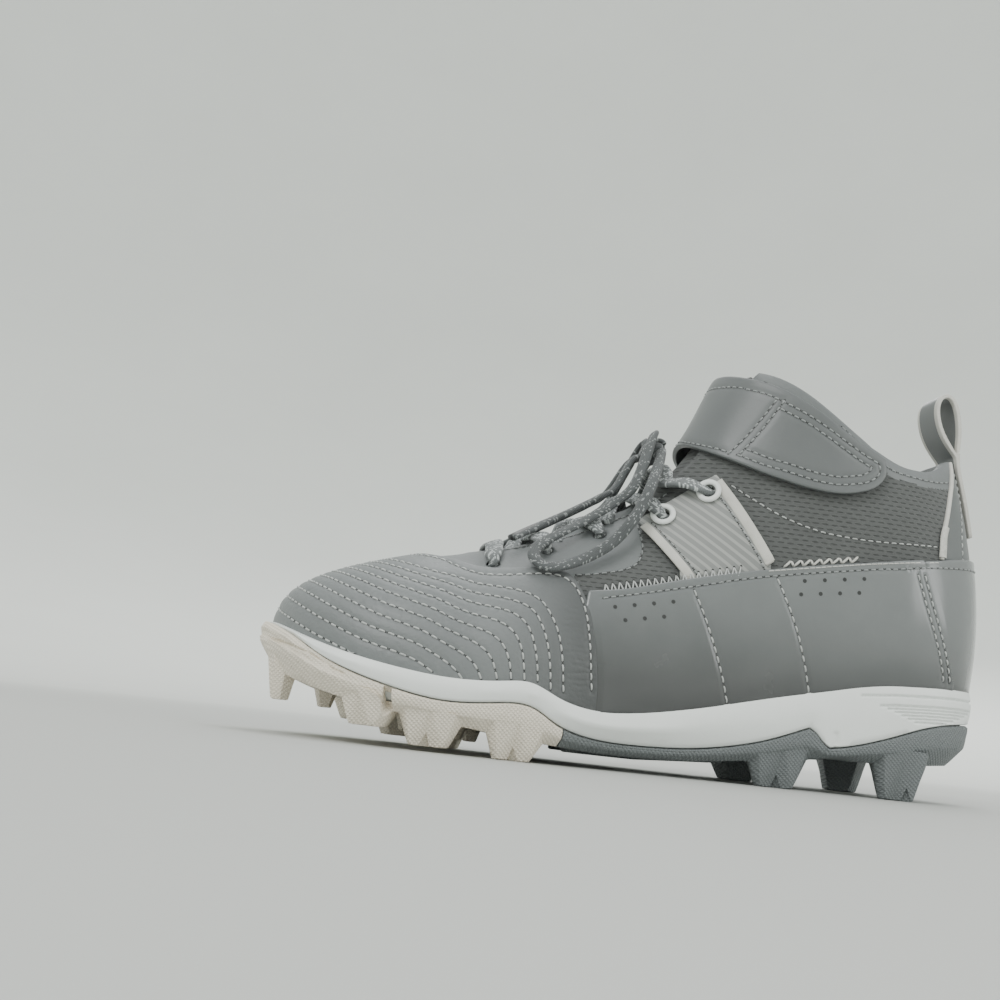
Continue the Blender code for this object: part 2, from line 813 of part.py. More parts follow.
def cut_plate(plate, keep_front):
    """Keeps the plate in front of the slanting split, or behind it."""
    shift = -GAP / 2 if keep_front else GAP / 2
    normal = Vector((1.0, -PLATE_SPLIT_SLANT, 0.0)).normalized()
    spot = Vector((PLATE_SPLIT_X + shift, 0.0, 0.0)) * MM
    work = bmesh.new()
    work.from_mesh(plate.data)
    cut = bmesh.ops.bisect_plane(
        work,
        geom=work.verts[:] + work.edges[:] + work.faces[:],
        plane_co=spot,
        plane_no=normal,
        clear_outer=keep_front,
        clear_inner=not keep_front,
        dist=1e-7,
    )
    edges = [item for item in cut["geom_cut"] if isinstance(item, bmesh.types.BMEdge)]
    bmesh.ops.holes_fill(work, edges=edges, sides=0)
    bmesh.ops.triangulate(work, faces=work.faces)
    bmesh.ops.recalc_face_normals(work, faces=work.faces)
    work.to_mesh(plate.data)
    work.free()


def make_sole(white, off_white, rubber):
    xs = (
        (-66.0, -54.0, -46.0, -40.0, -35.0, -29.0, -22.0, -12.0, 2.0, 17.0)
        + (32.0, 44.0, 52.0, 58.5, 61.0, 63.5, 66.0, 72.0, 80.0, 88.0)
    )
    stations = ring(xs, ROUND_STEPS, ROUND_STEPS)
    turned_solid("midsole", stations, midsole_profile, white)
    for plate_name, front, material in (("forefoot", True, off_white), ("rear", False, rubber)):
        plate = turned_solid("outsole_" + plate_name, stations, plate_profile, material)
        cut_plate(plate, front)
        studs = [stud_solid(*row[1:]) for row in STUDS if row[0] == plate_name]
        if front:
            studs += [small_stud_solid(*row) for row in SMALL_STUDS]
        else:
            studs += [
                arch_rib_solid((-22.0, -24.0), (34.0, 16.0)),
                arch_rib_solid((-20.0, 14.0), (34.0, -18.0)),
            ]
        for k, (points, faces) in enumerate(studs):
            cutter = add_cutter(f"{plate_name}_stud_{k}", points, faces, material)
            combine(plate, cutter, "UNION")


def make_insole(textile):
    xs = (-66.0, -50.0, -34.0, -18.0, 0.0, 18.0, 36.0, 54.0, 72.0, 88.0)

    def profile(station):
        bed = footbed(station) + GAP
        edge = wall_rho(station, bed + 0.3) - 1.5 * WALL - GAP
        return (
            spokes(station, footbed, edge, GAP)
            + ((edge, footbed(station, edge) + GAP + INSOLE - 0.6),)
            + spokes(station, footbed, edge - 0.8, GAP + INSOLE)[::-1]
        )

    turned_solid("insole", ring(xs, ROUND_STEPS, ROUND_STEPS), profile, textile)


# Upper


def make_upper(material):
    xs = (
        (-66.0, -58.0, -56.0, -53.0, -46.0, -36.0, -26.0, -16.0, -6.0, 3.0)
        + (11.0, 17.0, 22.0, 27.0, 32.0, 36.0, 42.0, 52.0, 64.0, 77.0, 88.0)
    )
    shares = (0.0, FOOT_SHARE, 0.22, 0.38, 0.54, 0.7, 0.85, 1.0)
    stations = ring(xs, ROUND_STEPS, ROUND_STEPS)
    size = 2 * len(shares)
    points = []
    for station in stations:
        points.extend(last_point(station, t) for t in shares)
        points.extend(last_point(station, t, -wall_thickness(station, t)) for t in reversed(shares))

    faces = []
    for face, (i, k) in zip(
        loops_to_faces(len(stations), size, True, True),
        ((i, k) for i in range(len(stations)) for k in range(size)),
    ):
        ahead = stations[(i + 1) % len(stations)]
        if k == len(shares) - 1 and closed_on_top(stations[i]) and closed_on_top(ahead):
            continue
        faces.append(face)
    return add_object("upper", points, faces, material)


def hole_stations():
    for side in (OUTER, INNER):
        for x, z, _ in LACE_HOLES:
            yield side_station(x, side), z


def hole_frame(station, z):
    """The middle of a lace hole on the last, and the direction straight out of it."""
    here = wall_point(station, z)
    out = (wall_point(station, z, 1.0) - here).normalized()
    return here, out


def disc_points(centre, out, radius, sides):
    turn = out.to_track_quat("Z", "Y").to_matrix()
    return [
        centre
        + turn
        @ Vector(
            (
                radius * math.cos(2 * math.pi * k / sides),
                radius * math.sin(2 * math.pi * k / sides),
                0.0,
            )
        )
        for k in range(sides)
    ]


def make_hole_cutters(material):
    cutters = []
    sides = 8
    for k, (station, z) in enumerate(hole_stations()):
        here, out = hole_frame(station, z)
        points = disc_points(here - out * 5.0, out, EYELET_HOLE, sides)
        points += disc_points(here + out * 5.0, out, EYELET_HOLE, sides)
        faces = loops_to_faces(2, sides, False, True)
        faces += [tuple(range(sides)), tuple(range(sides, 2 * sides))]
        cutters.append((station, add_cutter(f"lace_hole_{k}", points, faces, material)))
    return cutters


def make_tongue(material):
    xs = (-62.0, -54.0, -42.0, -30.0, -18.0, -6.0, 4.0, 12.0, 19.0, 25.0, 29.0, TONGUE_END_X)
    shares = (-1.0, -0.7, -0.35, 0.0, 0.35, 0.7, 1.0)
    columns = []
    for x in xs:
        half = follow(LAST, x, TOP_HALF) + follow(TONGUE_LAP, x)
        top = -WALL - GAP - 0.3
        dip = TONGUE_DIP * min(max((x - 4.0) / (THROAT_END_X - 4.0), 0.0), 1.0)
        column = []
        for s in shares:
            spot = (x - dip * (1.0 - s * s), half * s)
            thick = TONGUE * (1.0 - 0.55 * s * s)
            column.append((instep_point(*spot, top - thick), instep_point(*spot, top)))
        columns.append(column)
    shell_patch("tongue", columns, material)


# Overlays cut between two larger forms of the upper


def overlay_pair(station, t):
    return (
        last_point(station, t, OVERLAY_GAP),
        last_point(station, t, OVERLAY_GAP + OVERLAY),
    )


def overlay_column(station, low_t, high_t, rows):
    return [overlay_pair(station, low_t + (high_t - low_t) * k / rows) for k in range(rows + 1)]


def make_vamp(material):
    xs = (-16.4, -17.2, -18.6, -20.6, -23.6, -27.4, -32.0, -38.0, -45.0, -52.0, -58.0, -62.0, -66.0)
    outer = [side_station(x, OUTER) for x in xs]
    inner = [side_station(x, INNER) for x in reversed(xs)]
    toe = [toe_station(180.0 * i / ROUND_STEPS) for i in range(1, ROUND_STEPS)]
    at_axis = wall_rho(side_station(TOE_AXIS_X, OUTER), VAMP_SEAM[0][1])
    columns = []
    for station in outer + toe + inner:
        low = height_share(station, rim(station) + 0.8)
        if station.kind == "toe":
            stop = round_end(VAMP_SEAM_REACH, at_axis, station.dx, station.dy, 2.0)
            high = width_share(station, stop)
        else:
            high = height_share(station, follow(VAMP_SEAM, station.x))
        columns.append(overlay_column(station, low, max(high, low + 0.02), 5))
    shell_patch("vamp_overlay", columns, material)


def back_station(reach, side):
    """A station by its way round the heel, in degrees past the heel's axis."""
    return heel_station(reach if side == OUTER else 180.0 - reach)


def quarter_edges(station):
    low = height_share(station, rim(station) + 0.8)
    high = height_share(station, follow(QUARTER_TOP, station.x))
    return low, high


def make_quarters(material):
    rows = 5
    for name, side in (("quarter_lateral", OUTER), ("quarter_medial", INNER)):
        columns = []
        for share in (0.0, 0.12, 0.25, 0.38, 0.5, 0.62, 0.74, 0.86, 1.0):
            column = []
            for k in range(rows + 1):
                front = QUARTER_FRONT_X - QUARTER_FRONT_LEAN * (k / rows) ** 2
                station = side_station(front + (HEEL_AXIS_X - front) * share, side)
                low, high = quarter_edges(station)
                column.append(overlay_pair(station, low + (high - low) * k / rows))
            columns.append(column)
        for share in (0.33, 0.67, 1.0):
            column = []
            for k in range(rows + 1):
                seam = HEEL_SEAM - HEEL_SEAM_LEAN * k / rows
                station = back_station(share * (seam - HEEL_SEAM_GAP), side)
                low, high = quarter_edges(station)
                column.append(overlay_pair(station, low + (high - low) * k / rows))
            columns.append(column)
        shell_patch(name, columns, material)
    columns = []
    for i in range(15):
        column = []
        for k in range(rows + 1):
            seam = HEEL_SEAM - HEEL_SEAM_LEAN * k / rows
            station = heel_station(seam + (180.0 - 2 * seam) * i / 14)
            low, high = quarter_edges(station)
            column.append(overlay_pair(station, low + (high - low) * k / rows))
        columns.append(column)
    shell_patch("heel_counter", columns, material)


def make_side_panels(material, cutters):
    rows = 5
    front_top, back_top, back_low, front_low = (Vector(spot) for spot in SIDE_PANEL)
    for name, side in (("side_panel_lateral", OUTER), ("side_panel_medial", INNER)):
        columns = []
        for i in range(7):
            top = front_top.lerp(back_top, i / 6)
            low = front_low.lerp(back_low, i / 6)
            column = []
            for k in range(rows + 1):
                spot = low.lerp(top, k / rows)
                station = side_station(spot.x, side)
                column.append(overlay_pair(station, height_share(station, spot.y)))
            columns.append(column)
        panel = shell_patch(name, columns, material)
        for station, cutter in cutters:
            if station.side == side and station.x > 0.0:
                combine(panel, cutter, "DIFFERENCE")


def make_eyelets(material):
    sides = 12
    for side, word in ((OUTER, "lateral"), (INNER, "medial")):
        for number, (x, z, _) in enumerate(LACE_HOLES[3:], 1):
            here, out = hole_frame(side_station(x, side), z)
            here = here + out * (GAP + OVERLAY + GAP + 0.35)
            section = (
                (EYELET_HOLE, 0.0),
                (EYELET_RING, 0.0),
                (EYELET_RING - 0.4, 0.9),
                (EYELET_HOLE + 0.4, 0.9),
            )
            rings = [disc_points(here + out * up, out, radius, sides) for radius, up in section]
            points = [rings[k][i] for i in range(sides) for k in range(len(section))]
            faces = loops_to_faces(sides, len(section), True, True)
            add_object(f"eyelet_{word}_{number}", points, faces, material)


# Strap and pull tab


def last_tree():
    """The last closed over the throat, to lay the strap on."""
    points, faces = [], []
    for side in (OUTER, INNER):
        stations = [side_station(float(x), side) for x in range(10, 88, 3)]
        stations += [back_station(angle, side) for angle in range(0, 91, 10)]
        start = len(points)
        for station in stations:
            points.extend(last_point(station, 0.4 + 0.6 * k / 16) for k in range(17))
        faces += [
            tuple(start + c for c in face)
            for face in loops_to_faces(len(stations), 17, False, False)
        ]
    start = len(points)
    xs = [8.0 + 2.0 * i for i in range(16)]
    for x in xs:
        half = follow(LAST, min(x, THROAT_END_X), TOP_HALF)
        points.extend(instep_point(x, half * (k / 8 - 1.0)) for k in range(17))
    faces += [tuple(start + c for c in face) for face in loops_to_faces(len(xs), 17, False, False)]
    return BVHTree.FromPolygons(points, faces)


def make_strap(material):
    tree = last_tree()
    axis = Vector((STRAP_AXIS_X, 0.0, 0.0))
    rows = 4
    first, last = STRAP[0][0], STRAP[-1][0]
    angles = [first + 1.0, first + 4.0, first + 9.0]
    steps = [first + 15.0 + (last - first - 15.0) * i / STRAP_STEPS for i in range(STRAP_STEPS + 1)]
    grid = []
    for angle in angles + steps:
        way = Vector((-math.cos(math.radians(angle)), math.sin(math.radians(angle)), 0.0))
        low, high = follow(STRAP, angle, 1), follow(STRAP, angle, 2)
        grid.append([])
        for k in range(rows + 1):
            z = low + (high - low) * k / rows
            hit = tree.ray_cast(axis + Vector((0.0, 0.0, z)), way)[0]
            grid[-1].append(hit)
    columns = []
    for i, row in enumerate(grid):
        column = []
        for k, here in enumerate(row):
            along = grid[min(i + 1, len(grid) - 1)][k] - grid[max(i - 1, 0)][k]
            up = row[min(k + 1, rows)] - row[max(k - 1, 0)]
            out = along.cross(up).normalized()
            if out.dot(here - axis) < 0.0:
                out = -out
            column.append((here + out * 0.9, here + out * (0.9 + STRAP_THICK)))
        columns.append(column)
    shell_patch("ankle_strap", columns, material)


def ribbon(path, closed):
    """Points and faces of a strip of the tab's width and thickness along a line in x and z."""
    count = len(path)
    points = []
    for i, here in enumerate(path):
        before = path[i - 1] if closed or i > 0 else here
        after = path[(i + 1) % count] if closed or i < count - 1 else here
        ahead = Vector((after[0] - before[0], after[1] - before[1])).normalized()
        side = Vector((ahead.y, -ahead.x)) * TAB_THICK / 2
        for y, way in ((-1, 1), (1, 1), (1, -1), (-1, -1)):
            points.append(
                Vector((here[0] + side.x * way, y * TAB_WIDTH / 2, here[1] + side.y * way))
            )
    faces = loops_to_faces(count, 4, closed, True)
    if not closed:
        faces += [(0, 1, 2, 3), tuple(range(4 * count - 4, 4 * count))]
    return points, faces


def make_pull_tab(material):
    ring_points = TAB_LOOP + TAB_LOOP[:1]
    loop = [Vector((x, 0.0, z)) for x, z in ring_points]
    path = [(p.x, p.z) for p in smooth_route(loop, 2)[:-1]]
    tab = add_object("pull_tab", *ribbon(path, True), material)
    back = heel_station(90.0)
    out = GAP + 0.2 + TAB_THICK / 2
    tail = []
    for z in TAB_TAIL_Z:
        spot = wall_point(back, min(z, 122.0), out)
        tail.append((spot.x, spot.z + max(0.0, z - 122.0)))
    strip = add_cutter("pull_tab_tail", *ribbon(tail, False), material)
    combine(tab, strip, "UNION")


# Lacing


def hole_mouth(side, number, lift):
    x, z, _ = LACE_HOLES[number]
    here, out = hole_frame(side_station(x, side), z)
    return here + out * lift


def strand(start_side, start, end_side, end, reach):
    """A strand from beside one throat edge, over the tongue, over the other edge to its hole."""
    x0, x1 = LACE_HOLES[start][2] + LACE_WIDTH + GAP, LACE_HOLES[end][2]
    edge0, edge1 = follow(LAST, x0, TOP_HALF), follow(LAST, x1, TOP_HALF)
    y0 = start_side * (edge0 - 4.4)
    y1 = end_side * (edge1 + 1.0)
    route, normals = [], []
    low = -WALL - 0.3 + GAP + LACE_THICK / 2
    high = GAP + LACE_THICK / 2 + 0.35
    steps = 6
    for k in range(steps + 1):
        s = k / steps
        x, y = x0 + (x1 - x0) * s, y0 + (y1 - y0) * s
        lift = low + 0.5 + (high + reach - low - 0.5) * s ** 0.7
        route.append(instep_point(x, y, lift))
        normals.append(instep_normal(x, y))
    return over_the_edge(route, normals, end_side, end, high + reach)


def over_the_edge(route, normals, side, number, lift):
    if number > 2:
        lift += GAP + OVERLAY + 3.0
    mouth = hole_mouth(side, number, lift)
    out = hole_frame(side_station(LACE_HOLES[number][0], side), LACE_HOLES[number][1])[1]
    route.append(route[-1].lerp(mouth, 0.5) + out * 0.6)
    normals.append((normals[-1] + out).normalized())
    route.append(mouth)
    normals.append(out)
    return route, normals


def bar(number, lift):
    """A bar straight over the tongue from one hole to the hole opposite."""
    x = LACE_HOLES[number][2]
    edge = follow(LAST, x, TOP_HALF) + 1.0
    route, normals = [], []
    for k in range(9):
        y = edge * (k / 4 - 1.0)
        route.append(instep_point(x, y, lift))
        normals.append(instep_normal(x, y))
    route.reverse()
    normals.reverse()
    route, normals = over_the_edge(route, normals, OUTER, number, lift)
    route.reverse()
    normals.reverse()
    return over_the_edge(route, normals, INNER, number, lift)


def make_lacing(material):
    lift = GAP + LACE_THICK / 2 + 0.35
    add_object("lace_bar_low", *flat_tube(*bar(0, lift), LACE_WIDTH, LACE_THICK), material)
    for number in range(3):
        one = strand(OUTER, number, INNER, number + 1, 0.0)
        two = strand(INNER, number, OUTER, number + 1, 0.0)
        name = f"lace_cross_{number + 1}"
        crossing = add_object(name, *flat_tube(*one, LACE_WIDTH, LACE_THICK), material)
        other = add_cutter(name + "_over", *flat_tube(*two, LACE_WIDTH, LACE_THICK), material)
        combine(crossing, other, "UNION")
    add_object("lace_bar_top", *flat_tube(*bar(4, lift), LACE_WIDTH, LACE_THICK), material)


def make_bow(material):
    x, y = KNOT_SPOT
    centre = instep_point(x, y, KNOT_SIZE[2] + LACE_THICK + 2 * GAP)
    turn = instep_normal(x, y).to_track_quat("Z", "X").to_matrix().to_4x4()
    work = bmesh.new()
    bmesh.ops.create_icosphere(work, subdivisions=2, radius=1.0)
    scale = Matrix.Diagonal((*KNOT_SIZE, 1.0))
    work.transform(Matrix.Translation(centre) @ turn @ scale)
    points = [v.co.copy() for v in work.verts]
    faces = [tuple(v.index for v in face.verts) for face in work.faces]
    work.free()
    add_object("lace_knot", points, faces, material)

    def way_out(side, ahead, out, up):
        """Two spots straight out of the knot, the first just clear of it."""
        way = Vector((-ahead, side * out, up)).normalized()
        inside = turn.to_3x3().transposed() @ way
        share = math.sqrt(sum((inside[i] / KNOT_SIZE[i]) ** 2 for i in range(3)))
        return [centre + way * (1.0 / share + reach) for reach in (KNOT_GAP, KNOT_GAP + LACE_THICK)]

    for word, side, loop, end in (
        ("lateral", OUTER, LOOP_OUTER, END_OUTER),
        ("medial", INNER, LOOP_INNER, END_INNER),
    ):
        routes = {
            "lace_loop_" + word: [
                *way_out(side, *LOOP_WAYS[0]),
                *(instep_point(*spot) for spot in loop),
                *reversed(way_out(side, *LOOP_WAYS[1])),
            ],
            "lace_end_" + word: [
                *way_out(side, *END_WAY),
                *(instep_point(*spot) for spot in end),
            ],
        }
        for name, route in routes.items():
            spots = smooth_route(route, 2)
            normals = [instep_normal(p.x, p.y) for p in spots]
            add_object(name, *flat_tube(spots, normals, LACE_THICK * 1.7, LACE_THICK), material)


def main():
    clear_scene()
    leather = make_material("gray_leather", GRAY_LEATHER, 0.5)
    gloss = make_material("gloss_leather", GRAY_GLOSS, 0.2)
    textile = make_material("gray_textile", GRAY_TEXTILE, 0.8)
    rubber = make_material("gray_rubber", GRAY_RUBBER, 0.6)
    off_white = make_material("off_white_rubber", OFF_WHITE, 0.55)
    white = make_material("white_foam", WHITE, 0.5)
    pale = make_material("pale_panel", PALE, 0.5)
    lace = make_material("lace_weave", LACE_GRAY, 0.8)
    make_sole(white, off_white, rubber)
    make_insole(textile)
    upper = make_upper(textile)
    cutters = make_hole_cutters(textile)
    for _, cutter in cutters:
        combine(upper, cutter, "DIFFERENCE")
    make_tongue(textile)
    make_vamp(leather)
    make_quarters(gloss)
    make_side_panels(pale, cutters)
    make_eyelets(white)
    make_strap(leather)
    make_pull_tab(leather)
    make_lacing(lace)
    make_bow(lace)


main()
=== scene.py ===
"""Looks of a gray left baseball cleat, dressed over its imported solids.

Sizes are in millimetres and become metres where a mesh is made. The toe points to -X, the outer
side faces -Y, and the shoe stands on its studs.
"""

import json
import math

import bmesh
import bpy
import numpy as np
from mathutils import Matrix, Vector, noise
from mathutils.bvhtree import BVHTree
from mathutils.kdtree import KDTree


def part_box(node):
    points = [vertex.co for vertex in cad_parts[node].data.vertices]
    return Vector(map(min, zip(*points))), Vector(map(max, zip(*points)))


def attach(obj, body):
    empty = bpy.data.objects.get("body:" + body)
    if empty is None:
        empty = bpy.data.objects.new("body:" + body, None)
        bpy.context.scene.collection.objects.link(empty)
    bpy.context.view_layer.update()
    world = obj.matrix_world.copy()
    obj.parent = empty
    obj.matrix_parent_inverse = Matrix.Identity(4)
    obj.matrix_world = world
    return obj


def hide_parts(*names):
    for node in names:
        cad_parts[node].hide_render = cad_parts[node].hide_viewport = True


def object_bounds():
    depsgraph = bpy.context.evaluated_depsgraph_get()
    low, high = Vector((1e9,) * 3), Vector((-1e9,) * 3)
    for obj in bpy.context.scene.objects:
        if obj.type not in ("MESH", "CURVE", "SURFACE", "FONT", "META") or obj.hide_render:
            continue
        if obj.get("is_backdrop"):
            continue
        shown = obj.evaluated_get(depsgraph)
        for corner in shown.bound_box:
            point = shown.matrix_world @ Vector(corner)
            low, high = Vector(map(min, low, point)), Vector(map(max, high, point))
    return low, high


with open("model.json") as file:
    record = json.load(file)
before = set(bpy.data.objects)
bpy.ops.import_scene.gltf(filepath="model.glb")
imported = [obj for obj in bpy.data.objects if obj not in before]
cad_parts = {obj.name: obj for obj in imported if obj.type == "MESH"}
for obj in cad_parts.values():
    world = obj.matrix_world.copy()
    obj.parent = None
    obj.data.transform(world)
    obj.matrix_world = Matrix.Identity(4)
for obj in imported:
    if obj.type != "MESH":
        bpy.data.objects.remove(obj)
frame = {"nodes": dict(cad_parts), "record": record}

CAD_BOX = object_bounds()
NODES = frame["nodes"]
SLOTS = {row["node"]: row["material_slot"] for row in frame["record"]["subparts"]}
MM = 0.001
OUTER, INNER = -1, 1
SIDES = ((OUTER, "lateral"), (INNER, "medial"))
TOE_AXIS_X = -66.3
HEEL_AXIS_X = 87.7
HEEL_ROUND = 34.0
RAY_START = 150.0
RAY_INWARD = 140.0
RAY_THROUGH = 400.0

# Stage, with the camera and the lights in metres
CAMERA_SPOT = (-0.10438696, -0.45214958, 0.012)
CAMERA_TURN = (99.642, -6.212, -8.02)
CAMERA_LENS = 46.8
FLOOR_FLAT = 800.0
FLOOR_RISE = 2200.0
FLOOR_STEPS = 24
FLOOR_SIDES = 160
LIGHTS = (  # name, place, aim, size, power
    ("key_light", (-0.75, -1.0, 1.25), (0.0, 0.0, 0.06), 0.8, 13.5),
    ("fill_light", (1.0, -0.8, 0.6), (0.0, 0.0, 0.05), 0.7, 5.0),
    ("top_light", (0.15, 0.45, 1.6), (0.0, 0.0, 0.05), 1.1, 11.0),
    ("rim_light", (0.5, 1.2, 0.8), (0.0, 0.0, 0.06), 0.8, 5.0),
)

# Lace routes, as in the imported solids
LACE_WIDTH = 6.4
LACE_THICK = 2.0
LACE_SIDES = 14
HOLE_MOUTH = 1.2
HOLE_DEPTH = 3.2
HUMP_HALF = 5.0
PINCH_REACH = 9.0
PINCH_LEAST = 0.62
BOW_WIDTH = 4.2
BOW_THICK = 2.2
TIP_POINTS = 13
TIP_WIDTHS = (3.1, *[3.0] * 11, 2.4)
TIP_THICKS = (2.7, *[2.6] * 11, 2.0)
RING_RADIUS = 3.4
RING_WIRE = 0.98
RING_FLAT = 0.7
LACE_HOLES = {  # centre and way out
    OUTER: (
        ((-51.8, -22.1, 63.6), (-0.11, -0.57, 0.81)),
        ((-33.8, -18.9, 70.6), (-0.26, -0.58, 0.77)),
        ((-15.8, -18.5, 78.6), (-0.33, -0.68, 0.66)),
        ((5.2, -21.2, 86.6), (-0.33, -0.83, 0.46)),
        ((20.2, -22.8, 96.8), (-0.40, -0.87, 0.29)),
    ),
    INNER: (
        ((-51.8, 21.9, 63.6), (-0.09, 0.59, 0.81)),
        ((-33.8, 18.7, 70.6), (-0.26, 0.61, 0.75)),
        ((-15.8, 18.3, 78.6), (-0.32, 0.70, 0.64)),
        ((5.2, 20.7, 86.6), (-0.30, 0.86, 0.42)),
        ((20.2, 22.2, 96.8), (-0.36, 0.90, 0.25)),
    ),
}
BAR_LOW = (  # outer half, up to the middle
    (-52.0, -23.1, 65.1), (-51.4, -17.2, 68.7), (-50.7, -10.5, 71.4),
    (-50.8, -5.2, 72.4), (-50.8, 0.0, 72.7),
)
CROSSINGS = (  # strands that start under the outer edge and end in an inner hole
    (
        (-43.4, -5.8, 72.3), (-42.1, -2.9, 73.9), (-40.8, 0.2, 75.0), (-39.5, 3.3, 75.8),
        (-38.2, 6.4, 76.2), (-36.8, 9.7, 76.3), (-35.4, 13.0, 75.9), (-35.0, 16.7, 74.4),
        (-34.3, 19.8, 72.0),
    ),
    (
        (-27.8, -7.2, 78.8), (-26.5, -3.9, 81.0), (-25.1, -0.5, 82.6), (-23.6, 3.0, 83.6),
        (-22.2, 6.6, 84.1), (-20.6, 10.3, 84.0), (-19.1, 14.2, 83.2), (-17.9, 17.3, 81.8),
        (-16.4, 19.5, 79.7),
    ),
    (
        (-11.3, -7.9, 88.3), (-10.0, -4.4, 91.0), (-8.6, -0.8, 93.0), (-7.2, 3.0, 94.1),
        (-5.7, 6.9, 94.5), (-4.2, 10.8, 94.1), (-2.6, 15.0, 92.6), (0.2, 21.0, 91.1),
        (3.4, 26.0, 89.2),
    ),
)
BAR_TOP = (  # outer half, up to the middle
    (17.7, -28.2, 98.6), (12.0, -22.4, 99.5), (6.7, -15.5, 100.1), (6.5, -11.5, 103.6),
    (6.4, -7.7, 105.8), (6.4, -3.9, 107.1), (6.3, 0.0, 107.6),
)
LOOPS = {
    OUTER: (
        (2.4, -7.1, 116.5), (2.0, -9.1, 117.4), (-5.2, -18.6, 97.5), (-11.7, -18.1, 90.2),
        (-21.1, -18.6, 82.7), (-31.5, -21.1, 75.7), (-37.8, -24.2, 70.7), (-38.9, -28.4, 66.1),
        (-33.7, -31.3, 63.7), (-23.9, -30.4, 67.2), (-13.3, -29.4, 74.8), (-5.7, -28.8, 85.6),
        (-0.5, -23.9, 97.1), (5.1, -10.5, 110.9), (4.9, -8.4, 111.4),
    ),
    INNER: (
        (2.4, 7.1, 116.5), (2.0, 9.1, 117.4), (-6.1, 18.6, 96.9), (-12.7, 18.1, 89.6),
        (-22.1, 18.7, 82.1), (-32.5, 21.2, 75.1), (-38.8, 24.3, 69.9), (-39.8, 28.6, 64.9),
        (-34.5, 31.6, 61.7), (-24.7, 30.6, 64.9), (-14.1, 29.7, 72.6), (-6.3, 29.2, 83.9),
        (-1.3, 24.1, 96.1), (5.1, 10.5, 110.9), (4.9, 8.4, 111.4),
    ),
}
ENDS = {
    OUTER: (
        (-2.1, -2.8, 109.7), (-3.9, -3.6, 108.6), (-9.3, -5.5, 97.7), (-14.8, -5.3, 93.4),
        (-22.8, -5.9, 88.2), (-32.2, -8.1, 82.3), (-39.9, -12.0, 77.5), (-45.5, -15.8, 73.8),
    ),
    INNER: (
        (-2.1, 2.8, 109.7), (-3.9, 3.6, 108.6), (-10.3, 5.5, 97.1), (-15.8, 5.3, 92.7),
        (-23.7, 5.9, 87.6), (-33.2, 8.1, 81.9), (-40.9, 12.0, 77.1), (-46.5, 15.8, 73.5),
    ),
}
KNOT = (4.33, 0.0, 113.36)
KNOT_UP = (-0.777, 0.0, 0.63)
KNOT_DRAW = 2.4
KNOT_REACH = 4.6
KNOT_RISE = 3.0
KNOT_BAND = 5.6

# Thread and trim
NEEDLE_HOLE = 0.36
PUNCHED_RADIUS = 0.72
HOLE_LIFT = 0.06
RIBBON_SINK = 0.3
FINE_STITCH = (2.8, 2.1, 0.5)  # pitch, length, thickness
SEAM_TROUGH = (0.3, 0.8)  # depth and width, as in the troughs below
COUNTER_TROUGH = (0.25, 0.8)
ROW_TROUGH = (0.34, 0.9)
WRINKLE_TROUGH = (0.11, 0.42)
BUMPER_TROUGH = (0.85, 0.42)
HEEL_TROUGH = (1.1, 0.36)
SINK_TROUGH = (0.6, 0.9)
SWELL = (0.6, 24.0)  # height and size

# Seams and edges on the upper, seen from the side, as x and z
VAMP_SEAM = (
    (-66.3, 63.2), (-58.3, 60.8), (-52.3, 60.4), (-40.3, 62.2), (-33.3, 63.2), (-28.3, 62.6),
    (-24.3, 59.4), (-21.3, 53.4), (-19.3, 46.0), (-17.7, 36.0), (-16.5, 24.0),
)
VAMP_BEND_X = -24.3
VAMP_FOOT = 22.0
VAMP_CALM = 30
VAMP_EDGE_ROW = 1.9
VAMP_FIRST_ROW = 11.4
VAMP_ROW_STEP = 4.2
VAMP_ROW_COUNT = 12
VAMP_CORNER = 5.0
VAMP_GUIDE = (
    (-66.3, 63.2), (-58.3, 62.3), (-50.3, 62.2), (-42.3, 62.6), (-33.3, 63.2), (-28.3, 62.6),
    (-24.3, 59.4),
)
VAMP_WRINKLES = 13
WRINKLE_FOOT_Z = 25.4
WRINKLE_STEP = 2.1
QUARTER_TOP = (
    (-21.3, 56.0), (10.7, 64.0), (37.7, 71.0), (74.7, 78.0), (99.7, 82.0), (126.7, 86.0),
)
QUARTER_ROW = 2.2
QUARTER_ROW_START = -16.4
QUARTER_ROW_END_Z = 77.8
HEEL_SEAM_ROWS = (1.9, 4.6)
ZIGZAG_STEPS = np.arange(-16.0, 31.0, 1.2)
ZIGZAG_HEIGHTS = (-1.5, 2.7)
ZIGZAG_HOLE = 0.42
LOOSE_STEPS = np.arange(45.6, 72.4, 1.7)
LOOSE_HEIGHTS = (0.7, 3.0)
LOOSE_LEAN = 0.8
RAW_EDGE_STEPS = np.arange(40.0, 104.0, 2.0)
RAW_EDGE_DROP = 0.25
QUARTER_SLANTS = (
    ((14.6, 62.2), (20.6, 49.0), (25.4, 36.0), (28.6, 25.4)),
    ((43.0, 69.6), (49.4, 56.0), (54.0, 43.0), (57.0, 31.8)),
)
PUNCHED = (
    *((-12.0 + 6.6 * i, 52.6 + 1.4 * i) for i in range(4)),
    *((-8.4 + 6.6 * i, 48.6 + 1.4 * i) for i in range(3)),
    *((52.6 + 7.0 * i, 69.3 + 1.1 * i) for i in range(4)),
    *((51.6 + 6.8 * i, 64.6 + 1.0 * i) for i in range(4)),
)
EYESTAY_SEAM = (
    (-25.0, 62.2), (-18.0, 63.4), (-9.0, 65.8), (-4.0, 68.8), (-2.0, 74.0), (-2.6, 80.0),
    (-3.6, 86.0),
)
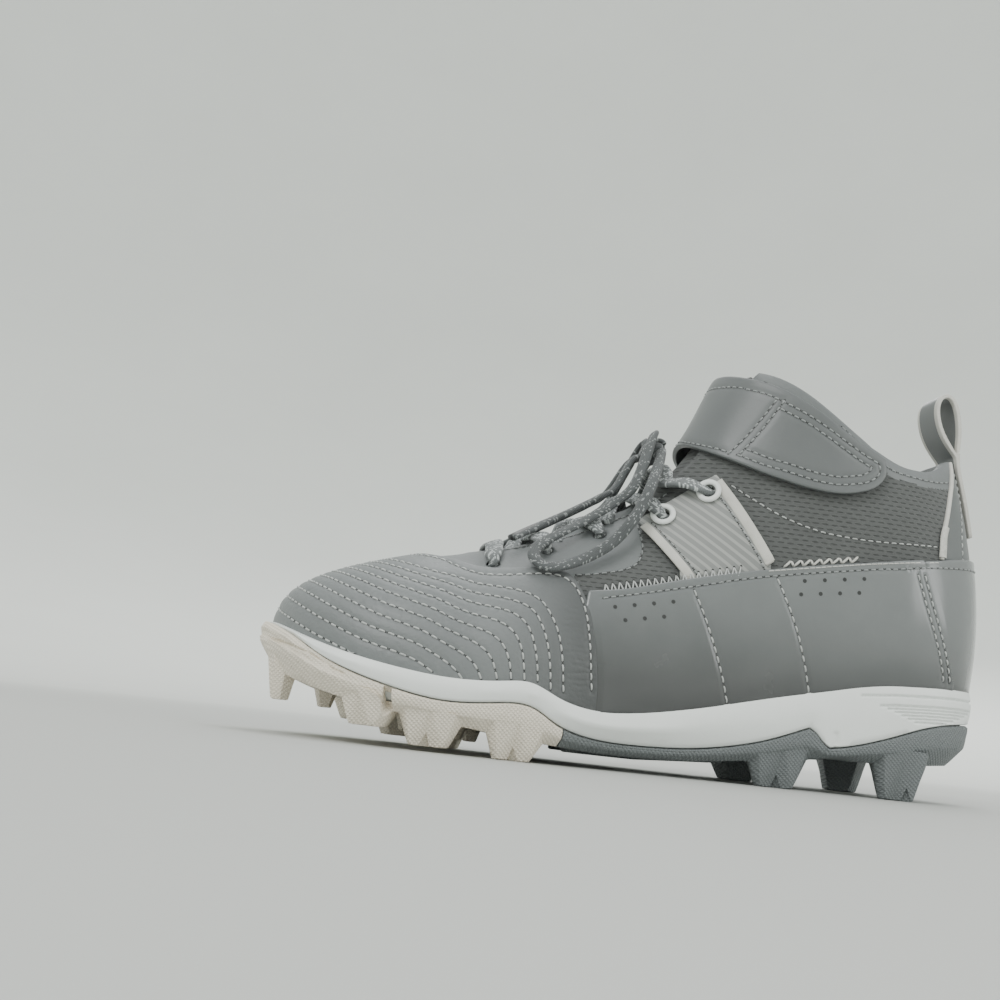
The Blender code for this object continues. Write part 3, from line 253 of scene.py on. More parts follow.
ANKLE_SEAM = (
    (27.0, 100.6), (35.0, 95.6), (44.0, 91.0), (54.0, 88.0), (64.0, 86.6), (80.0, 86.4),
    (103.0, 88.0),
)
PANEL_FRONT = ((-1.6, 83.2), (5.6, 75.2), (12.6, 67.4), (15.2, 64.0))
PANEL_BACK = ((22.4, 101.2), (31.4, 88.4), (40.4, 74.4), (42.4, 70.8))
PANEL_TUCK = 4.0
PANEL_SINK = 0.35
FRONT_TOP_Z = 56.0
EDGE_STRIP = 1.2
EDGE_TUCK = 2.2
EDGE_SINK = 0.55
SEAT_DROP = 0.9
THROAT_HALF = (
    (-52.3, 8.6), (-30.3, 11.6), (-13.3, 12.4), (1.7, 13.0), (16.7, 14.0), (29.7, 16.0),
)
THROAT_ROW = 2.6
THROAT_ROW_STEPS = np.arange(-50.0, 8.0, 0.5)
COLLAR_TOP = (
    (29.7, 135.5), (35.7, 143.5), (43.7, 141.8), (59.7, 131.5), (77.7, 119.0), (87.7, 114.8),
    (107.7, 115.5), (126.7, 124.0),
)
COLLAR_BAND = 5.0
BAND_FRONT_X = 16.0
BAND_FINE_X = 40.0
COLLAR_ROW = 2.6
COLLAR_ROW_STEPS = np.arange(64.0, 111.0, 2.0)
STRAP_AXIS_X = 59.7
STRAP_ROUND = 33.0
STRAP = (  # angle in degrees, lower edge, upper edge
    (-127.0, 110.5, 115.0), (-123.0, 106.4, 116.4), (-115.0, 103.0, 118.6), (-96.0, 100.6, 124.6),
    (-80.0, 101.0, 129.6), (-50.0, 105.0, 137.5), (-30.0, 110.0, 140.5), (0.0, 116.0, 143.0),
    (30.0, 110.0, 140.5), (50.0, 105.0, 137.5), (80.0, 101.0, 129.6), (104.0, 101.0, 121.5),
)
STRAP_CROSS = ((-37.0, 111.2), (-57.0, 132.8))  # angle and height
STRAP_FRONT = -36.0
STRAP_ROW = 3.2
STRAP_SECOND_ROW = 6.0
STRAP_CROSS_HALF = 2.4
STRAP_END_ROWS = (96.5, 100.0)
TAB_EDGE = 6.5
STAY_HEIGHTS = np.linspace(83.6, 122.0, 40)
STAY_COLUMNS = 16
STAY_SEAM_COLUMN = 5
STAY_OVERLAP = 0.004
STAY_LIFT = 0.55
STAY_SINK = 0.4
TACK_HALF = 1.7
TACK_LIFT = 0.9
HEEL_STAY_FRONT = ((83.0, 104.0), (92.0, 105.0), (100.0, 107.6), (112.0, 111.0), (122.0, 113.0))
HEEL_RIM = (  # angle and height
    (-20.0, 36.9), (0.0, 38.1), (20.0, 38.8), (40.0, 39.3), (90.0, 39.6),
)
MIDSOLE_SINK = ((67.4, 15.2), (67.6, 17.4), (67.4, 19.6))
HEEL_GROOVE_DROP = 3.4
HEEL_RIBS = 6
HEEL_RIB_TOP = (-9.0, 62.0)  # first and last angle
HEEL_RIB_FOOT = (13.0, 35.0)
HEEL_RIB_STEP = 1.05
BUMPER_GROOVE = ((-127.0, 31.4), (-114.0, 26.6), (-106.0, 22.2), (-94.0, 18.8), (-80.0, 16.4))
NOTCH_WIDTH = 4.2
NOTCH_HEIGHT = 5.6
NOTCH_DEPTH = 0.85
FOREFOOT_STUDS = (  # x, side, tip height
    (-97.3, OUTER, 6.0), (-69.3, OUTER, 1.6), (-41.3, OUTER, 0.0), (-100.3, INNER, 6.6),
    (-77.3, INNER, 2.6), (-56.3, INNER, 0.0),
)
REAR_STUDS = (
    (-29.3, INNER, 0.0), (49.7, OUTER, 0.0), (95.7, OUTER, 0.0), (51.7, INNER, 0.0),
    (96.7, INNER, 0.0),
)
FOREFOOT_SLOTS = ((-82.6, OUTER, 14.4), (-66.6, INNER, 12.4))  # x, side, middle height
SLOT_WIDTH = 3.0
SLOT_HALF = 3.2
SLOT_DEPTH = 3.0


# Modelling helpers


def deselect():
    if bpy.context.object and bpy.context.object.mode != "OBJECT":
        bpy.ops.object.mode_set(mode="OBJECT")
    bpy.ops.object.select_all(action="DESELECT")


def take(piece):
    """Makes a piece the only one that is selected."""
    deselect()
    piece.select_set(True)
    bpy.context.view_layer.objects.active = piece


def apply_modifier(piece, kind, **settings):
    take(piece)
    modifier = piece.modifiers.new(kind.lower(), kind)
    for key, value in settings.items():
        setattr(modifier, key, value)
    bpy.ops.object.modifier_apply(modifier=modifier.name)


def settle_in(piece, name, slot, *nodes):
    """Names a finished piece, lets it ride on the shoe and stand for its nodes."""
    take(piece)
    bpy.ops.object.transform_apply(location=True, rotation=True, scale=True)
    piece.name = name
    piece.data.name = name
    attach(piece, "root")
    if nodes:
        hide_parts(*nodes)
    return piece


def node_copy(node):
    """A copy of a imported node's mesh, merged and with its quads back."""
    piece = bpy.data.objects.new(node + "_dressed", NODES[node].data.copy())
    bpy.context.scene.collection.objects.link(piece)
    piece.data.materials.clear()
    take(piece)
    bpy.ops.mesh.customdata_custom_splitnormals_clear()
    bpy.ops.object.mode_set(mode="EDIT")
    bpy.ops.mesh.select_all(action="SELECT")
    bpy.ops.mesh.remove_doubles(threshold=0.01 * MM)
    bpy.ops.mesh.tris_convert_to_quads(
        face_threshold=math.radians(50), shape_threshold=math.radians(60)
    )
    bpy.ops.mesh.faces_shade_smooth()
    bpy.ops.object.mode_set(mode="OBJECT")
    return piece


def crease(piece, degrees, amount):
    """Holds the edges that turn by more than an angle when the piece is subdivided."""
    work = bmesh.new()
    work.from_mesh(piece.data)
    layer = work.edges.layers.float.get("crease_edge") or work.edges.layers.float.new("crease_edge")
    for edge in work.edges:
        turn = edge.calc_face_angle(math.pi)
        edge[layer] = amount if turn > math.radians(degrees) else 0.0
    work.to_mesh(piece.data)
    work.free()


def soft_skin(node, levels, degrees=48.0, amount=0.85):
    """A node's shape with its facets rounded away, as leather or foam has it."""
    piece = node_copy(node)
    crease(piece, degrees, amount)
    apply_modifier(piece, "SUBSURF", levels=levels, render_levels=levels)
    return piece


def points_of(piece):
    flat = np.empty(len(piece.data.vertices) * 3)
    piece.data.vertices.foreach_get("co", flat)
    return flat.reshape(-1, 3)


def normals_of(piece):
    flat = np.empty(len(piece.data.vertices) * 3, np.float32)
    piece.data.vertex_normals.foreach_get("vector", flat)
    return flat.reshape(-1, 3).astype(float)


def set_points(piece, points):
    piece.data.vertices.foreach_set("co", points.astype(np.float32).ravel())
    piece.data.update()


def lay_uv(mesh, uv):
    """Gives every corner of a mesh the UV of its point."""
    layer = mesh.uv_layers.get("lay") or mesh.uv_layers.new(name="lay")
    corner = np.empty(len(mesh.loops), np.int32)
    mesh.loops.foreach_get("vertex_index", corner)
    layer.data.foreach_set("uv", np.asarray(uv, np.float32)[corner].ravel())


def mesh_piece(points, faces, finish, uv=None):
    """A piece from rows of points in millimetres, with a UV for each point where one is given."""
    mesh = bpy.data.meshes.new("new_piece")
    mesh.from_pydata((np.asarray(points) * MM).tolist(), [], [tuple(face) for face in faces])
    mesh.materials.append(finish)
    mesh.shade_smooth()
    if uv is not None:
        lay_uv(mesh, uv)
    mesh.validate()
    piece = bpy.data.objects.new("new_piece", mesh)
    bpy.context.scene.collection.objects.link(piece)
    return piece


def join(pieces):
    deselect()
    for piece in pieces:
        piece.select_set(True)
    bpy.context.view_layer.objects.active = pieces[0]
    bpy.ops.object.join()
    return bpy.context.object


# Lines


def unit(rows):
    rows = np.asarray(rows, float)
    return rows / np.maximum(np.linalg.norm(rows, axis=-1, keepdims=True), 1e-9)


def travel(points):
    """How far along a line each of its points lies."""
    return np.r_[0, np.cumsum(np.linalg.norm(np.diff(points, axis=0), axis=1))]


def at(spots, way, rows):
    """Rows of values that lie along a way, read at other spots on it."""
    return np.stack([np.interp(spots, way, column) for column in rows.T], axis=-1)


def read(x, knots):
    """The second value of knots at a first value."""
    return np.interp(x, *zip(*knots))


def even(points, step):
    """The same line with points at an even step."""
    way = travel(points)
    count = max(2, int(round(way[-1] / step)) + 1)
    return at(np.linspace(0, way[-1], count), way, points)


def flow(knots, step=0.5):
    """Points at an even step on a smooth line through the knots."""
    knots = np.asarray(knots, float)
    ends = np.vstack([2 * knots[0] - knots[1], knots, 2 * knots[-1] - knots[-2]])
    share = np.linspace(0, 1, 24, endpoint=False)[:, None]
    dense = [
        0.5 * (2 * b + (c - a) * share + (2 * a - 5 * b + 4 * c - d) * share**2
               + (3 * b - a - 3 * c + d) * share**3)
        for a, b, c, d in zip(ends[:-3], ends[1:-2], ends[2:-1], ends[3:])
    ]
    return even(np.vstack([*dense, knots[-1:]]), step)


def calm(line, passes):
    """The same line with its small kinks smoothed away."""
    for _ in range(passes):
        line[1:-1] = (line[:-2] + 2 * line[1:-1] + line[2:]) / 4
    return line


def nearest_of(points):
    tree = KDTree(len(points))
    for i, spot in enumerate(points):
        tree.insert(spot, i)
    tree.balance()
    return tree


def parted(hits):
    """The points and the normals of the rays that met a surface."""
    hits = [hit for hit in hits if hit]
    return np.array([hit[0] for hit in hits]), np.array([hit[1] for hit in hits])


class Skin:
    """The outside of finished pieces, for laying thread and trim on. Works in millimetres."""

    def __init__(self, *pieces):
        points, faces = [], []
        for piece in pieces:
            start = len(points)
            points.extend(map(tuple, points_of(piece) / MM))
            faces.extend(tuple(v + start for v in face.vertices) for face in piece.data.polygons)
        self.tree = BVHTree.FromPolygons(points, faces)

    def ray(self, start, way, reach=RAY_THROUGH):
        spot, normal, _, _ = self.tree.ray_cast(Vector(start), Vector(way).normalized(), reach)
        return (np.array(spot), np.array(normal)) if spot else None

    def inward(self, axis_x, z, way, reach=RAY_INWARD):
        """Where a ray from outside towards the shoe's middle meets the skin."""
        return self.ray(np.array([axis_x, 0.0, z]) + way * RAY_START, -way, reach)

    def side(self, x, z, side):
        return self.ray((x, side * RAY_START, z), (0, -side, 0))

    def side_line(self, knots, side, step=0.5):
        return parted(self.side(x, z, side) for x, z in flow(knots, step))

    def round_line(self, axis_x, end, angles, height):
        """A line round the toe or heel, at a height for each angle from the outer side."""
        hits = []
        for degrees in angles:
            turn = math.radians(degrees)
            way = np.array([end * math.sin(turn), -math.cos(turn), 0.0])
            hits.append(self.inward(axis_x, height(degrees, way[0]), way))
        return parted(hits)[0]

    def lay(self, points):
        return parted(self.tree.find_nearest(Vector(point)) for point in points)


def press(piece, lines, depth, width):
    """Presses soft troughs along lines into a piece."""
    tree = nearest_of(np.vstack(lines))
    points, normals = points_of(piece), normals_of(piece)
    away = np.array([tree.find(Vector(p / MM))[2] for p in points])
    push = depth * np.exp(-((away / width) ** 2)) * MM
    set_points(piece, points - normals * push[:, None])


def ring_faces(count, sides):
    """The faces between rings of points, and the two that close the ends."""
    walls = [
        ((i + 1) * sides + k, (i + 1) * sides + (k + 1) % sides, i * sides + (k + 1) % sides,
         i * sides + k)
        for i in range(count - 1) for k in range(sides)
    ]
    return [*walls, tuple(range(sides)), tuple(reversed(range((count - 1) * sides, count * sides)))]


def swept(rings, finish, along, around):
    """A closed piece through rings of points, its UV running along and around it."""
    uv = np.stack(np.broadcast_arrays(along[:, None], around[None]), axis=-1)
    return mesh_piece(rings.reshape(-1, 3), ring_faces(*rings.shape[:2]), finish, uv.reshape(-1, 2))


def tube(points, normals, widths, thicks, finish, flat=0.6):
    """A flat braided cord along points, its broad side facing along the normals."""
    points, normals = np.asarray(points, float), unit(normals)
    ahead = unit(np.gradient(points, axis=0))
    across = unit(np.cross(ahead, normals))
    up = np.cross(across, ahead)
    turn = 2 * np.pi * np.arange(LACE_SIDES) / LACE_SIDES
    wide, high = (np.sign(wave) * np.abs(wave) ** flat for wave in (np.cos(turn), np.sin(turn)))
    widths, thicks = (np.broadcast_to(size, len(points)) for size in (widths, thicks))
    rings = (
        points[:, None]
        + across[:, None] * (wide[None, :, None] * widths[:, None, None] / 2)
        + up[:, None] * (high[None, :, None] * thicks[:, None, None] / 2)
    )
    return swept(rings, finish, travel(points) / LACE_WIDTH, 0.5 + 0.5 * wide)


def ribbon(points, normals, width, thick, finish, edge=0.35):
    """A flat strip that lies on a surface, with rounded edges."""
    normals = unit(normals)
    across = unit(np.cross(unit(np.gradient(points, axis=0)), normals))
    half = width / 2
    section = np.array([
        (-half, -RIBBON_SINK), (-half, thick - edge), (-half + edge, thick), (0.0, thick * 1.04),
        (half - edge, thick), (half, thick - edge), (half, -RIBBON_SINK),
    ])
    rings = (
        points[:, None]
        + across[:, None] * section[None, :, 0, None]
        + normals[:, None] * section[None, :, 1, None]
    )
    return swept(rings, finish, travel(points), section[:, 0])


# Stitches


def thread_legs(legs, thick, finish, sides=6):
    """Short threads, each from one needle hole to the next, bowed a little over the surface."""
    share = np.linspace(0, 1, 6)
    girth = np.array([0.62, 0.95, 1.0, 1.0, 0.95, 0.62])
    bow = np.array([-0.28, 0.22, 0.42, 0.42, 0.22, -0.28])
    turn = 2 * np.pi * np.arange(sides) / sides
    points, faces = [], []
    for start, end, normal in legs:
        ahead = unit(end - start)
        across = unit(np.cross(ahead, normal))
        up = np.cross(across, ahead)
        base = len(points)
        for s, g, b in zip(share, girth, bow):
            middle = start + (end - start) * s + up * b * thick
            for angle in turn:
                points.append(
                    middle + g * thick
                    * (across * math.cos(angle) * 0.5 + up * math.sin(angle) * 0.42)
                )
        rings = len(share)
        for i in range(rings - 1):
            for k in range(sides):
                n = (k + 1) % sides
                faces.append((base + i * sides + k, base + (i + 1) * sides + k,
                              base + (i + 1) * sides + n, base + i * sides + n))
        faces.append(tuple(base + k for k in range(sides)))
        faces.append(tuple(base + (rings - 1) * sides + k for k in reversed(range(sides))))
    return mesh_piece(points, faces, finish)


def linked(hits):
    """The legs of a thread from each spot to the next."""
    return [(a[0], b[0], a[1]) for a, b in zip(hits, hits[1:]) if a and b]


def discs(spots, radius, sides=8):
    """Small dark dots on the surface, each a little dished: painted shade that stands in for the
    dark insides of needle holes and punched holes.
    """
    points, faces = [], []
    for spot, normal in spots:
        normal = unit(normal)
        across = unit(np.cross(normal, (0.31, 0.52, 0.79)))
        up = np.cross(normal, across)
        base = len(points)
        for k in range(sides):
            angle = 2 * math.pi * k / sides
            rim = across * math.cos(angle) + up * math.sin(angle)
            points.append(spot + radius * rim + normal * HOLE_LIFT)
        points.append(spot + normal * HOLE_LIFT * 0.4)
        faces.extend((base + k, base + (k + 1) % sides, base + sides) for k in range(sides))
    return mesh_piece(points, faces, HOLE_SHADE)


def run_of_stitches(line, normals, pitch, length):
    """The legs of one seam, evenly shared along its line."""
    way = travel(line)
    count = int(way[-1] / pitch)
    legs = []
    for i in range(count):
        middle = (i + 0.5) * way[-1] / count
        start, end = (at(middle + half, way, line) for half in (-length / 2, length / 2))
        legs.append((start, end, unit(at(middle, way, normals))))
    return legs


def sew(name, slot, lines, finish, pitch=3.2, length=2.5, thick=0.62):
    """Sews seams with thread, with dark dots of painted shade at the needle holes. Each line is its
    points and normals.
    """
    legs = [leg for line, normals in lines for leg in run_of_stitches(line, normals, pitch, length)]
    settle_in(thread_legs(legs, thick, finish), name, slot)
    # Dark dots of painted shade at each needle hole.
    holes = [(end, leg[2]) for leg in legs for end in leg[:2]]
    settle_in(discs(holes, NEEDLE_HOLE), name + "_holes", slot)


def sew_on(skin, name, slot, lines, finish, **sizes):
    """Sews seams along lines that are laid on a skin first."""
    sew(name, slot, [skin.lay(line) for line in lines], finish, **sizes)


# Material helpers


class Nodes:
    """Builds nodes in a material's or a group's tree."""

    def __init__(self, tree):
        self.tree = tree

    def put(self, socket, value):
        """Links another socket to a socket, or sets its value."""
        if isinstance(value, bpy.types.NodeSocket):
            self.tree.links.new(value, socket)
        else:
            socket.default_value = value

    def add(self, kind, inputs=None, **settings):
        node = self.tree.nodes.new("ShaderNode" + kind)
        for key, value in settings.items():
            setattr(node, key, value)
        for key, value in (inputs or {}).items():
            self.put(node.inputs[key], value)
        return node

    def math(self, operation, a, b=0.0):
        return self.add("Math", {0: a, 1: b}, operation=operation).outputs[0]

    def plus(self, a, b):
        return self.math("ADD", a, b)

    def less(self, a, b):
        return self.math("SUBTRACT", a, b)

    def times(self, a, b):
        return self.math("MULTIPLY", a, b)

    def over(self, a, b):
        return self.math("DIVIDE", a, b)

    def parts(self, vector):
        return self.add("SeparateXYZ", {"Vector": vector}).outputs

    def lean(self, vector, way):
        """How far a vector goes one way."""
        return self.add("VectorMath", {0: vector, 1: way}, operation="DOT_PRODUCT").outputs["Value"]

    def cloud(self, vector, scale, **inputs):
        return self.add("TexNoise", {"Vector": vector, "Scale": scale, **inputs}).outputs["Fac"]

    def span(self, value, low, high, to_low=0.0, to_high=1.0, smooth=False):
        ends = {"From Min": low, "From Max": high, "To Min": to_low, "To Max": to_high}
        kind = "SMOOTHSTEP" if smooth else "LINEAR"
        node = self.add("MapRange", {"Value": value, **ends}, interpolation_type=kind)
        return node.outputs["Result"]

    def mix(self, share, a, b):
        return self.add("Mix", {0: share, 6: a, 7: b}, data_type="RGBA").outputs[2]


class Group(Nodes):
    """A shared effect: a node group with a vector and named numbers as inputs."""

    def __init__(self, name, **inputs):
        super().__init__(bpy.data.node_groups.new(name, "ShaderNodeTree"))
        self.socket("Vector", "INPUT", "NodeSocketVector")
        for key, value in inputs.items():
            self.socket(key, "INPUT").default_value = value
        self.given = self.tree.nodes.new("NodeGroupInput").outputs
        self.vector = self.given["Vector"]

    def socket(self, key, way, kind="NodeSocketFloat"):
        return self.tree.interface.new_socket(key, in_out=way, socket_type=kind)

    def give(self, **outputs):
        """Ends the group with its named results."""
        for key in outputs:
            self.socket(key, "OUTPUT")
        results = self.tree.nodes.new("NodeGroupOutput").inputs
        for key, value in outputs.items():
            self.put(results[key], value)
        return self


class Finish(Nodes):
    """A material with one Principled shader, its base colour laid on in layers."""

    def __init__(self, name, **sockets):
        self.material = bpy.data.materials.new(name)
        self.material.use_nodes = True
        super().__init__(self.material.node_tree)
        self.shader = self.tree.nodes["Principled BSDF"]
        for key, value in sockets.items():
            self.shader.inputs[key.replace("_", " ")].default_value = value
        where = self.add("TexCoord").outputs
        self.place, self.uv = where["Object"], where["UV"]

    def effect(self, group, vector=None, **inputs):
        inputs["Vector"] = self.place if vector is None else vector
        return self.add("Group", inputs, node_tree=group.tree).outputs

    def mottled(self, scale, dark, light):
        """A base that changes slowly between two tones."""
        self.slow = self.effect(MOTTLE, Scale=scale)["Value"]
        self.base = self.mix(self.slow, dark, light)

    def layer(self, mask, amount, colour):
        """Lays a colour over the base where a mask is, by an amount."""
        self.base = self.mix(self.times(mask, amount), self.base, colour)

    def rough(self, value, *layers):
        """A roughness, and what masks add to it by their amounts."""
        for mask, amount in layers:
            value = self.plus(self.times(mask, amount), value)
        self.put(self.shader.inputs["Roughness"], value)

    def bump(self, *layers):
        """Stacks bumps, each a height, a strength and a depth in millimetres."""
        inputs = {}
        for height, strength, depth in layers:
            inputs.update({"Height": height, "Strength": strength, "Distance": depth * MM})
            inputs["Normal"] = normal = self.add("Bump", inputs).outputs["Normal"]
        self.put(self.shader.inputs["Normal"], normal)

    def done(self):
        self.put(self.shader.inputs["Base Color"], self.base)
        return self.material


# Shared effects


def make_hide_grain():
    """Pebbled grain of coated leather, with finer pores over it."""
    group = Group("hide_grain", Scale=900.0)
    vector, scale = group.vector, group.given["Scale"]
    bent = group.cloud(vector, group.times(scale, 0.35))
    pebble = group.add("TexVoronoi", {"Vector": vector, "Scale": scale}, feature="SMOOTH_F1")
    pores = group.cloud(vector, group.times(scale, 2.4))
    height = group.plus(group.times(pebble.outputs["Distance"], bent), group.times(pores, 0.25))
    return group.give(Height=height, Tone=pores)


def make_mottle():
    """Slow changes of tone over a surface."""
    group = Group("mottle", Scale=60.0)
    cloud = group.cloud(group.vector, group.given["Scale"], Detail=4.0, Roughness=0.6)
    return group.give(Value=group.span(cloud, 0.3, 0.7))


def make_smudges():
    """Patches of dust, rubs and scuffs, with how much of the surface they cover."""
    group = Group("smudges", Scale=90.0, Cover=0.4)
    cloud = group.cloud(group.vector, group.given["Scale"], Detail=7.0, Roughness=0.68)
    low = group.less(0.78, group.times(group.given["Cover"], 0.5))
    return group.give(Mask=group.span(cloud, low, group.plus(low, 0.16), smooth=True))


def make_dash_rows():
    """Rows of short dents, each row shifted by half a step. The vector is in millimetres."""
    group = Group("dash_rows", Along=3.6, Between=2.0)
    parts = group.parts(group.vector)
    row = group.over(parts["Y"], group.given["Between"])
    shift = group.times(group.math("FLOORED_MODULO", group.math("FLOOR", row), 2.0), 0.5)
    step = group.plus(group.over(parts["X"], group.given["Along"]), shift)
    reach = [
        group.math("POWER", group.over(group.less(group.math("FRACT", value), 0.5), half), 2.0)
        for value, half in ((step, 0.34), (row, 0.18))
    ]
    return group.give(Mask=group.span(group.plus(*reach), 1.5, 0.5, smooth=True))


def make_ribs():
    """Fine crossing moulded ribs, at a pitch in millimetres."""
    group = Group("moulded_ribs", Pitch=1.1)
    turns = group.over(2000.0 * math.pi, group.given["Pitch"])
    waves = []
    for way, power in (((0.64, 0.12, 0.76), 0.7), ((-0.7, 0.12, 0.7), 0.5)):
        wave = group.math("SINE", group.times(group.lean(group.vector, way), turns))
        waves.append(group.math("POWER", group.plus(group.times(wave, 0.5), 0.5), power))
    return group.give(Height=group.times(*waves))


def make_braid():
    """A flat braid: chevrons of yarn with light flecks. The vector is the lace's own UV."""
    group = Group("braid", Picks=11.0, Chance=0.2)
    parts = group.parts(group.vector)
    side = group.math("ABSOLUTE", group.less(parts["Y"], 0.5))
    climb = group.plus(group.times(parts["X"], group.given["Picks"]), group.times(side, 5.0))
    pick, wale = (
        group.math("ABSOLUTE", group.math("SINE", group.times(value, turns * math.pi)))
        for value, turns in ((climb, 1.0), (side, 7.0))
    )
    yarn = group.add("CombineXYZ", {
        "X": group.math("FLOOR", climb),
        "Y": group.math("FLOOR", group.times(parts["Y"], 10.0)),
    })
    chance = group.add("TexWhiteNoise", {"Vector": yarn.outputs["Vector"]}, noise_dimensions="2D")
    return group.give(
        Height=group.times(pick, group.plus(group.times(wale, 0.6), 0.4)),
        Fleck=group.math("LESS_THAN", chance.outputs["Value"], group.given["Chance"]),
    )


HIDE_GRAIN = make_hide_grain()
MOTTLE = make_mottle()
SMUDGES = make_smudges()
DASH_ROWS = make_dash_rows()
RIBS = make_ribs()
BRAID = make_braid()


# Finishes


def gray(value, warm=0.0):
    """A near gray in linear light, a little warm or cool."""
    return (value * (0.97 + warm), value, value * (0.97 - warm), 1.0)


def leather(name, tone, roughness, grain, depth, coat=0.0, dust=0.25, rub=0.22, painted_shade=None):
    """Coated leather, with painted shade where it is asked for: the colour darkened along an axis,
    given as the axis, where the shade is full and where it ends, and its amount.
    """
    look = Finish(name, Coat_Weight=coat, Coat_Roughness=0.16, Specular_IOR_Level=0.45)
    hide = look.effect(HIDE_GRAIN, Scale=grain)
    scuff = look.effect(SMUDGES, Scale=120.0, Cover=dust)["Mask"]
    look.mottled(42.0, gray(tone * 0.93, -0.035), gray(tone * 1.06, -0.03))
    look.layer(hide["Tone"], 0.16, gray(tone * 0.6, -0.03))
    look.layer(scuff, rub, gray(tone * 1.7, 0.01))
    # Painted shade: the base darkened along one axis, in place of shade and dark reflections on the
    # leather.
    if painted_shade:
        axis, full, gone, amount = painted_shade
        share = look.span(look.parts(look.place)[axis], full, gone, amount, 0.0, smooth=True)
        look.base = look.mix(share, look.base, gray(tone * 0.22, -0.02))
    look.rough(roughness, (look.slow, 0.12), (scuff, 0.6 * rub))
    look.bump((hide["Height"], 0.5, depth))
    return look.done()


def dimpled_textile(name, tone):
    look = Finish(name, Roughness=0.82, Sheen_Weight=0.15, Specular_IOR_Level=0.25)
    rows = look.effect(DASH_ROWS, look.uv, Along=3.4, Between=1.65)["Mask"]
    weave = look.effect(DASH_ROWS, look.uv, Along=0.6, Between=0.42)["Mask"]
    look.mottled(50.0, gray(tone * 0.93, -0.005), gray(tone * 1.07, -0.01))
    look.layer(weave, 0.18, gray(tone * 0.7, -0.01))
    # Painted shade: the colour darkened in the dents of the dash rows.
    look.layer(rows, 0.55, gray(tone * 0.42, -0.01))
    look.bump((look.less(1.0, rows), 0.8, 0.45), (weave, 0.3, 0.12))
    return look.done()


def knit(name, tone, along=1.5, between=1.0):
    look = Finish(name, Roughness=0.9, Sheen_Weight=0.3, Specular_IOR_Level=0.2)
    rows = look.effect(DASH_ROWS, look.uv, Along=along, Between=between)["Mask"]
    look.mottled(70.0, gray(tone * 0.88, -0.02), gray(tone * 1.1, -0.02))
    look.layer(rows, 0.5, gray(tone * 0.5, -0.02))
    look.bump((rows, 0.6, 0.3))
    return look.done()


def foam(name, tone):
    look = Finish(name, Specular_IOR_Level=0.4)
    skin = look.effect(HIDE_GRAIN, Scale=1500.0)
    marks = look.effect(SMUDGES, Scale=75.0, Cover=0.34)["Mask"]
    look.mottled(30.0, gray(tone * 0.96, -0.002), gray(tone * 1.02, -0.004))
    look.layer(marks, 0.16, gray(tone * 0.55, 0.06))
    look.rough(0.46, (marks, 0.2))
    look.bump((skin["Height"], 0.25, 0.1))
    return look.done()


def rubber(name, tone, warm, pitch, dust):
    look = Finish(name, Specular_IOR_Level=0.35)
    ribs = look.effect(RIBS, Pitch=pitch)["Height"]
    dirt = look.effect(SMUDGES, Scale=110.0, Cover=dust)["Mask"]
    look.mottled(46.0, gray(tone * 0.94, warm), gray(tone * 1.04, warm))
    # Painted shade: the colour darkened in the hollows between the moulded ribs.
    look.layer(look.less(1.0, ribs), 0.34, gray(tone * 0.55, warm))
    look.layer(dirt, 0.3, gray(tone * 0.6, warm + 0.05))
    look.rough(0.56, (look.slow, 0.14))
    look.bump((ribs, 0.75, 0.32))
    return look.done()


def lace_weave(name, tone, fleck, chance):
    look = Finish(name, Roughness=0.78, Sheen_Weight=0.2, Specular_IOR_Level=0.3)
    braid = look.effect(BRAID, look.uv, Picks=11.0, Chance=chance)
    look.mottled(90.0, gray(tone * 0.85, -0.04), gray(tone * 1.12, -0.04))
    look.layer(braid["Fleck"], 0.85, gray(fleck, -0.02))
    # Painted shade: the braid darkened in its hollows, where its height is low.
    shade = look.span(braid["Height"], 0.0, 0.4, 0.5, 0.0)
    look.base = look.mix(shade, look.base, gray(tone * 0.4, -0.04))
    look.bump((braid["Height"], 0.6, 0.22))
    return look.done()


def thread(name, tone, warm):
    look = Finish(name, Roughness=0.55, Sheen_Weight=0.2)
    look.mottled(700.0, gray(tone * 0.8, warm), gray(tone * 1.1, warm))
    return look.done()


def webbing(name, tone, warm):
    look = Finish(name, Roughness=0.7, Sheen_Weight=0.1)
    weave = look.effect(DASH_ROWS, look.uv, Along=0.9, Between=0.6)["Mask"]
    dirt = look.effect(SMUDGES, Scale=260.0, Cover=0.45)["Mask"]
    look.mottled(120.0, gray(tone * 0.92, warm), gray(tone * 1.05, warm))
    look.layer(weave, 0.2, gray(tone * 0.7, warm))
    look.layer(dirt, 0.2, gray(tone * 0.5, warm + 0.03))
    look.bump((weave, 0.4, 0.12))
    return look.done()


def moulded(name, tone, roughness):
    look = Finish(name, Specular_IOR_Level=0.5)
    look.mottled(160.0, gray(tone * 0.93), gray(tone * 1.03))
    look.rough(roughness, (look.slow, 0.1))
    return look.done()


def paper(name, tone, far_painted_light):
    """Studio paper, paler away from the middle: painted light that makes the dimmer rising wall as
    bright as the lit floor.
    """
    look = Finish(name, Roughness=0.75, Specular_IOR_Level=0.2)
    slow = look.effect(MOTTLE, Scale=3.0)["Value"]
    reach = look.add("VectorMath", {0: look.place}, operation="LENGTH").outputs["Value"]
    # Painted light: the paper lighter towards its rising wall, darker in the middle.
    far = look.span(reach, 0.25, 1.5, smooth=True)
    look.base = look.mix(far, gray(tone, 0.012), gray(far_painted_light, 0.012))
    look.layer(slow, 0.06, gray(tone * 0.8, 0.02))
    return look.done()


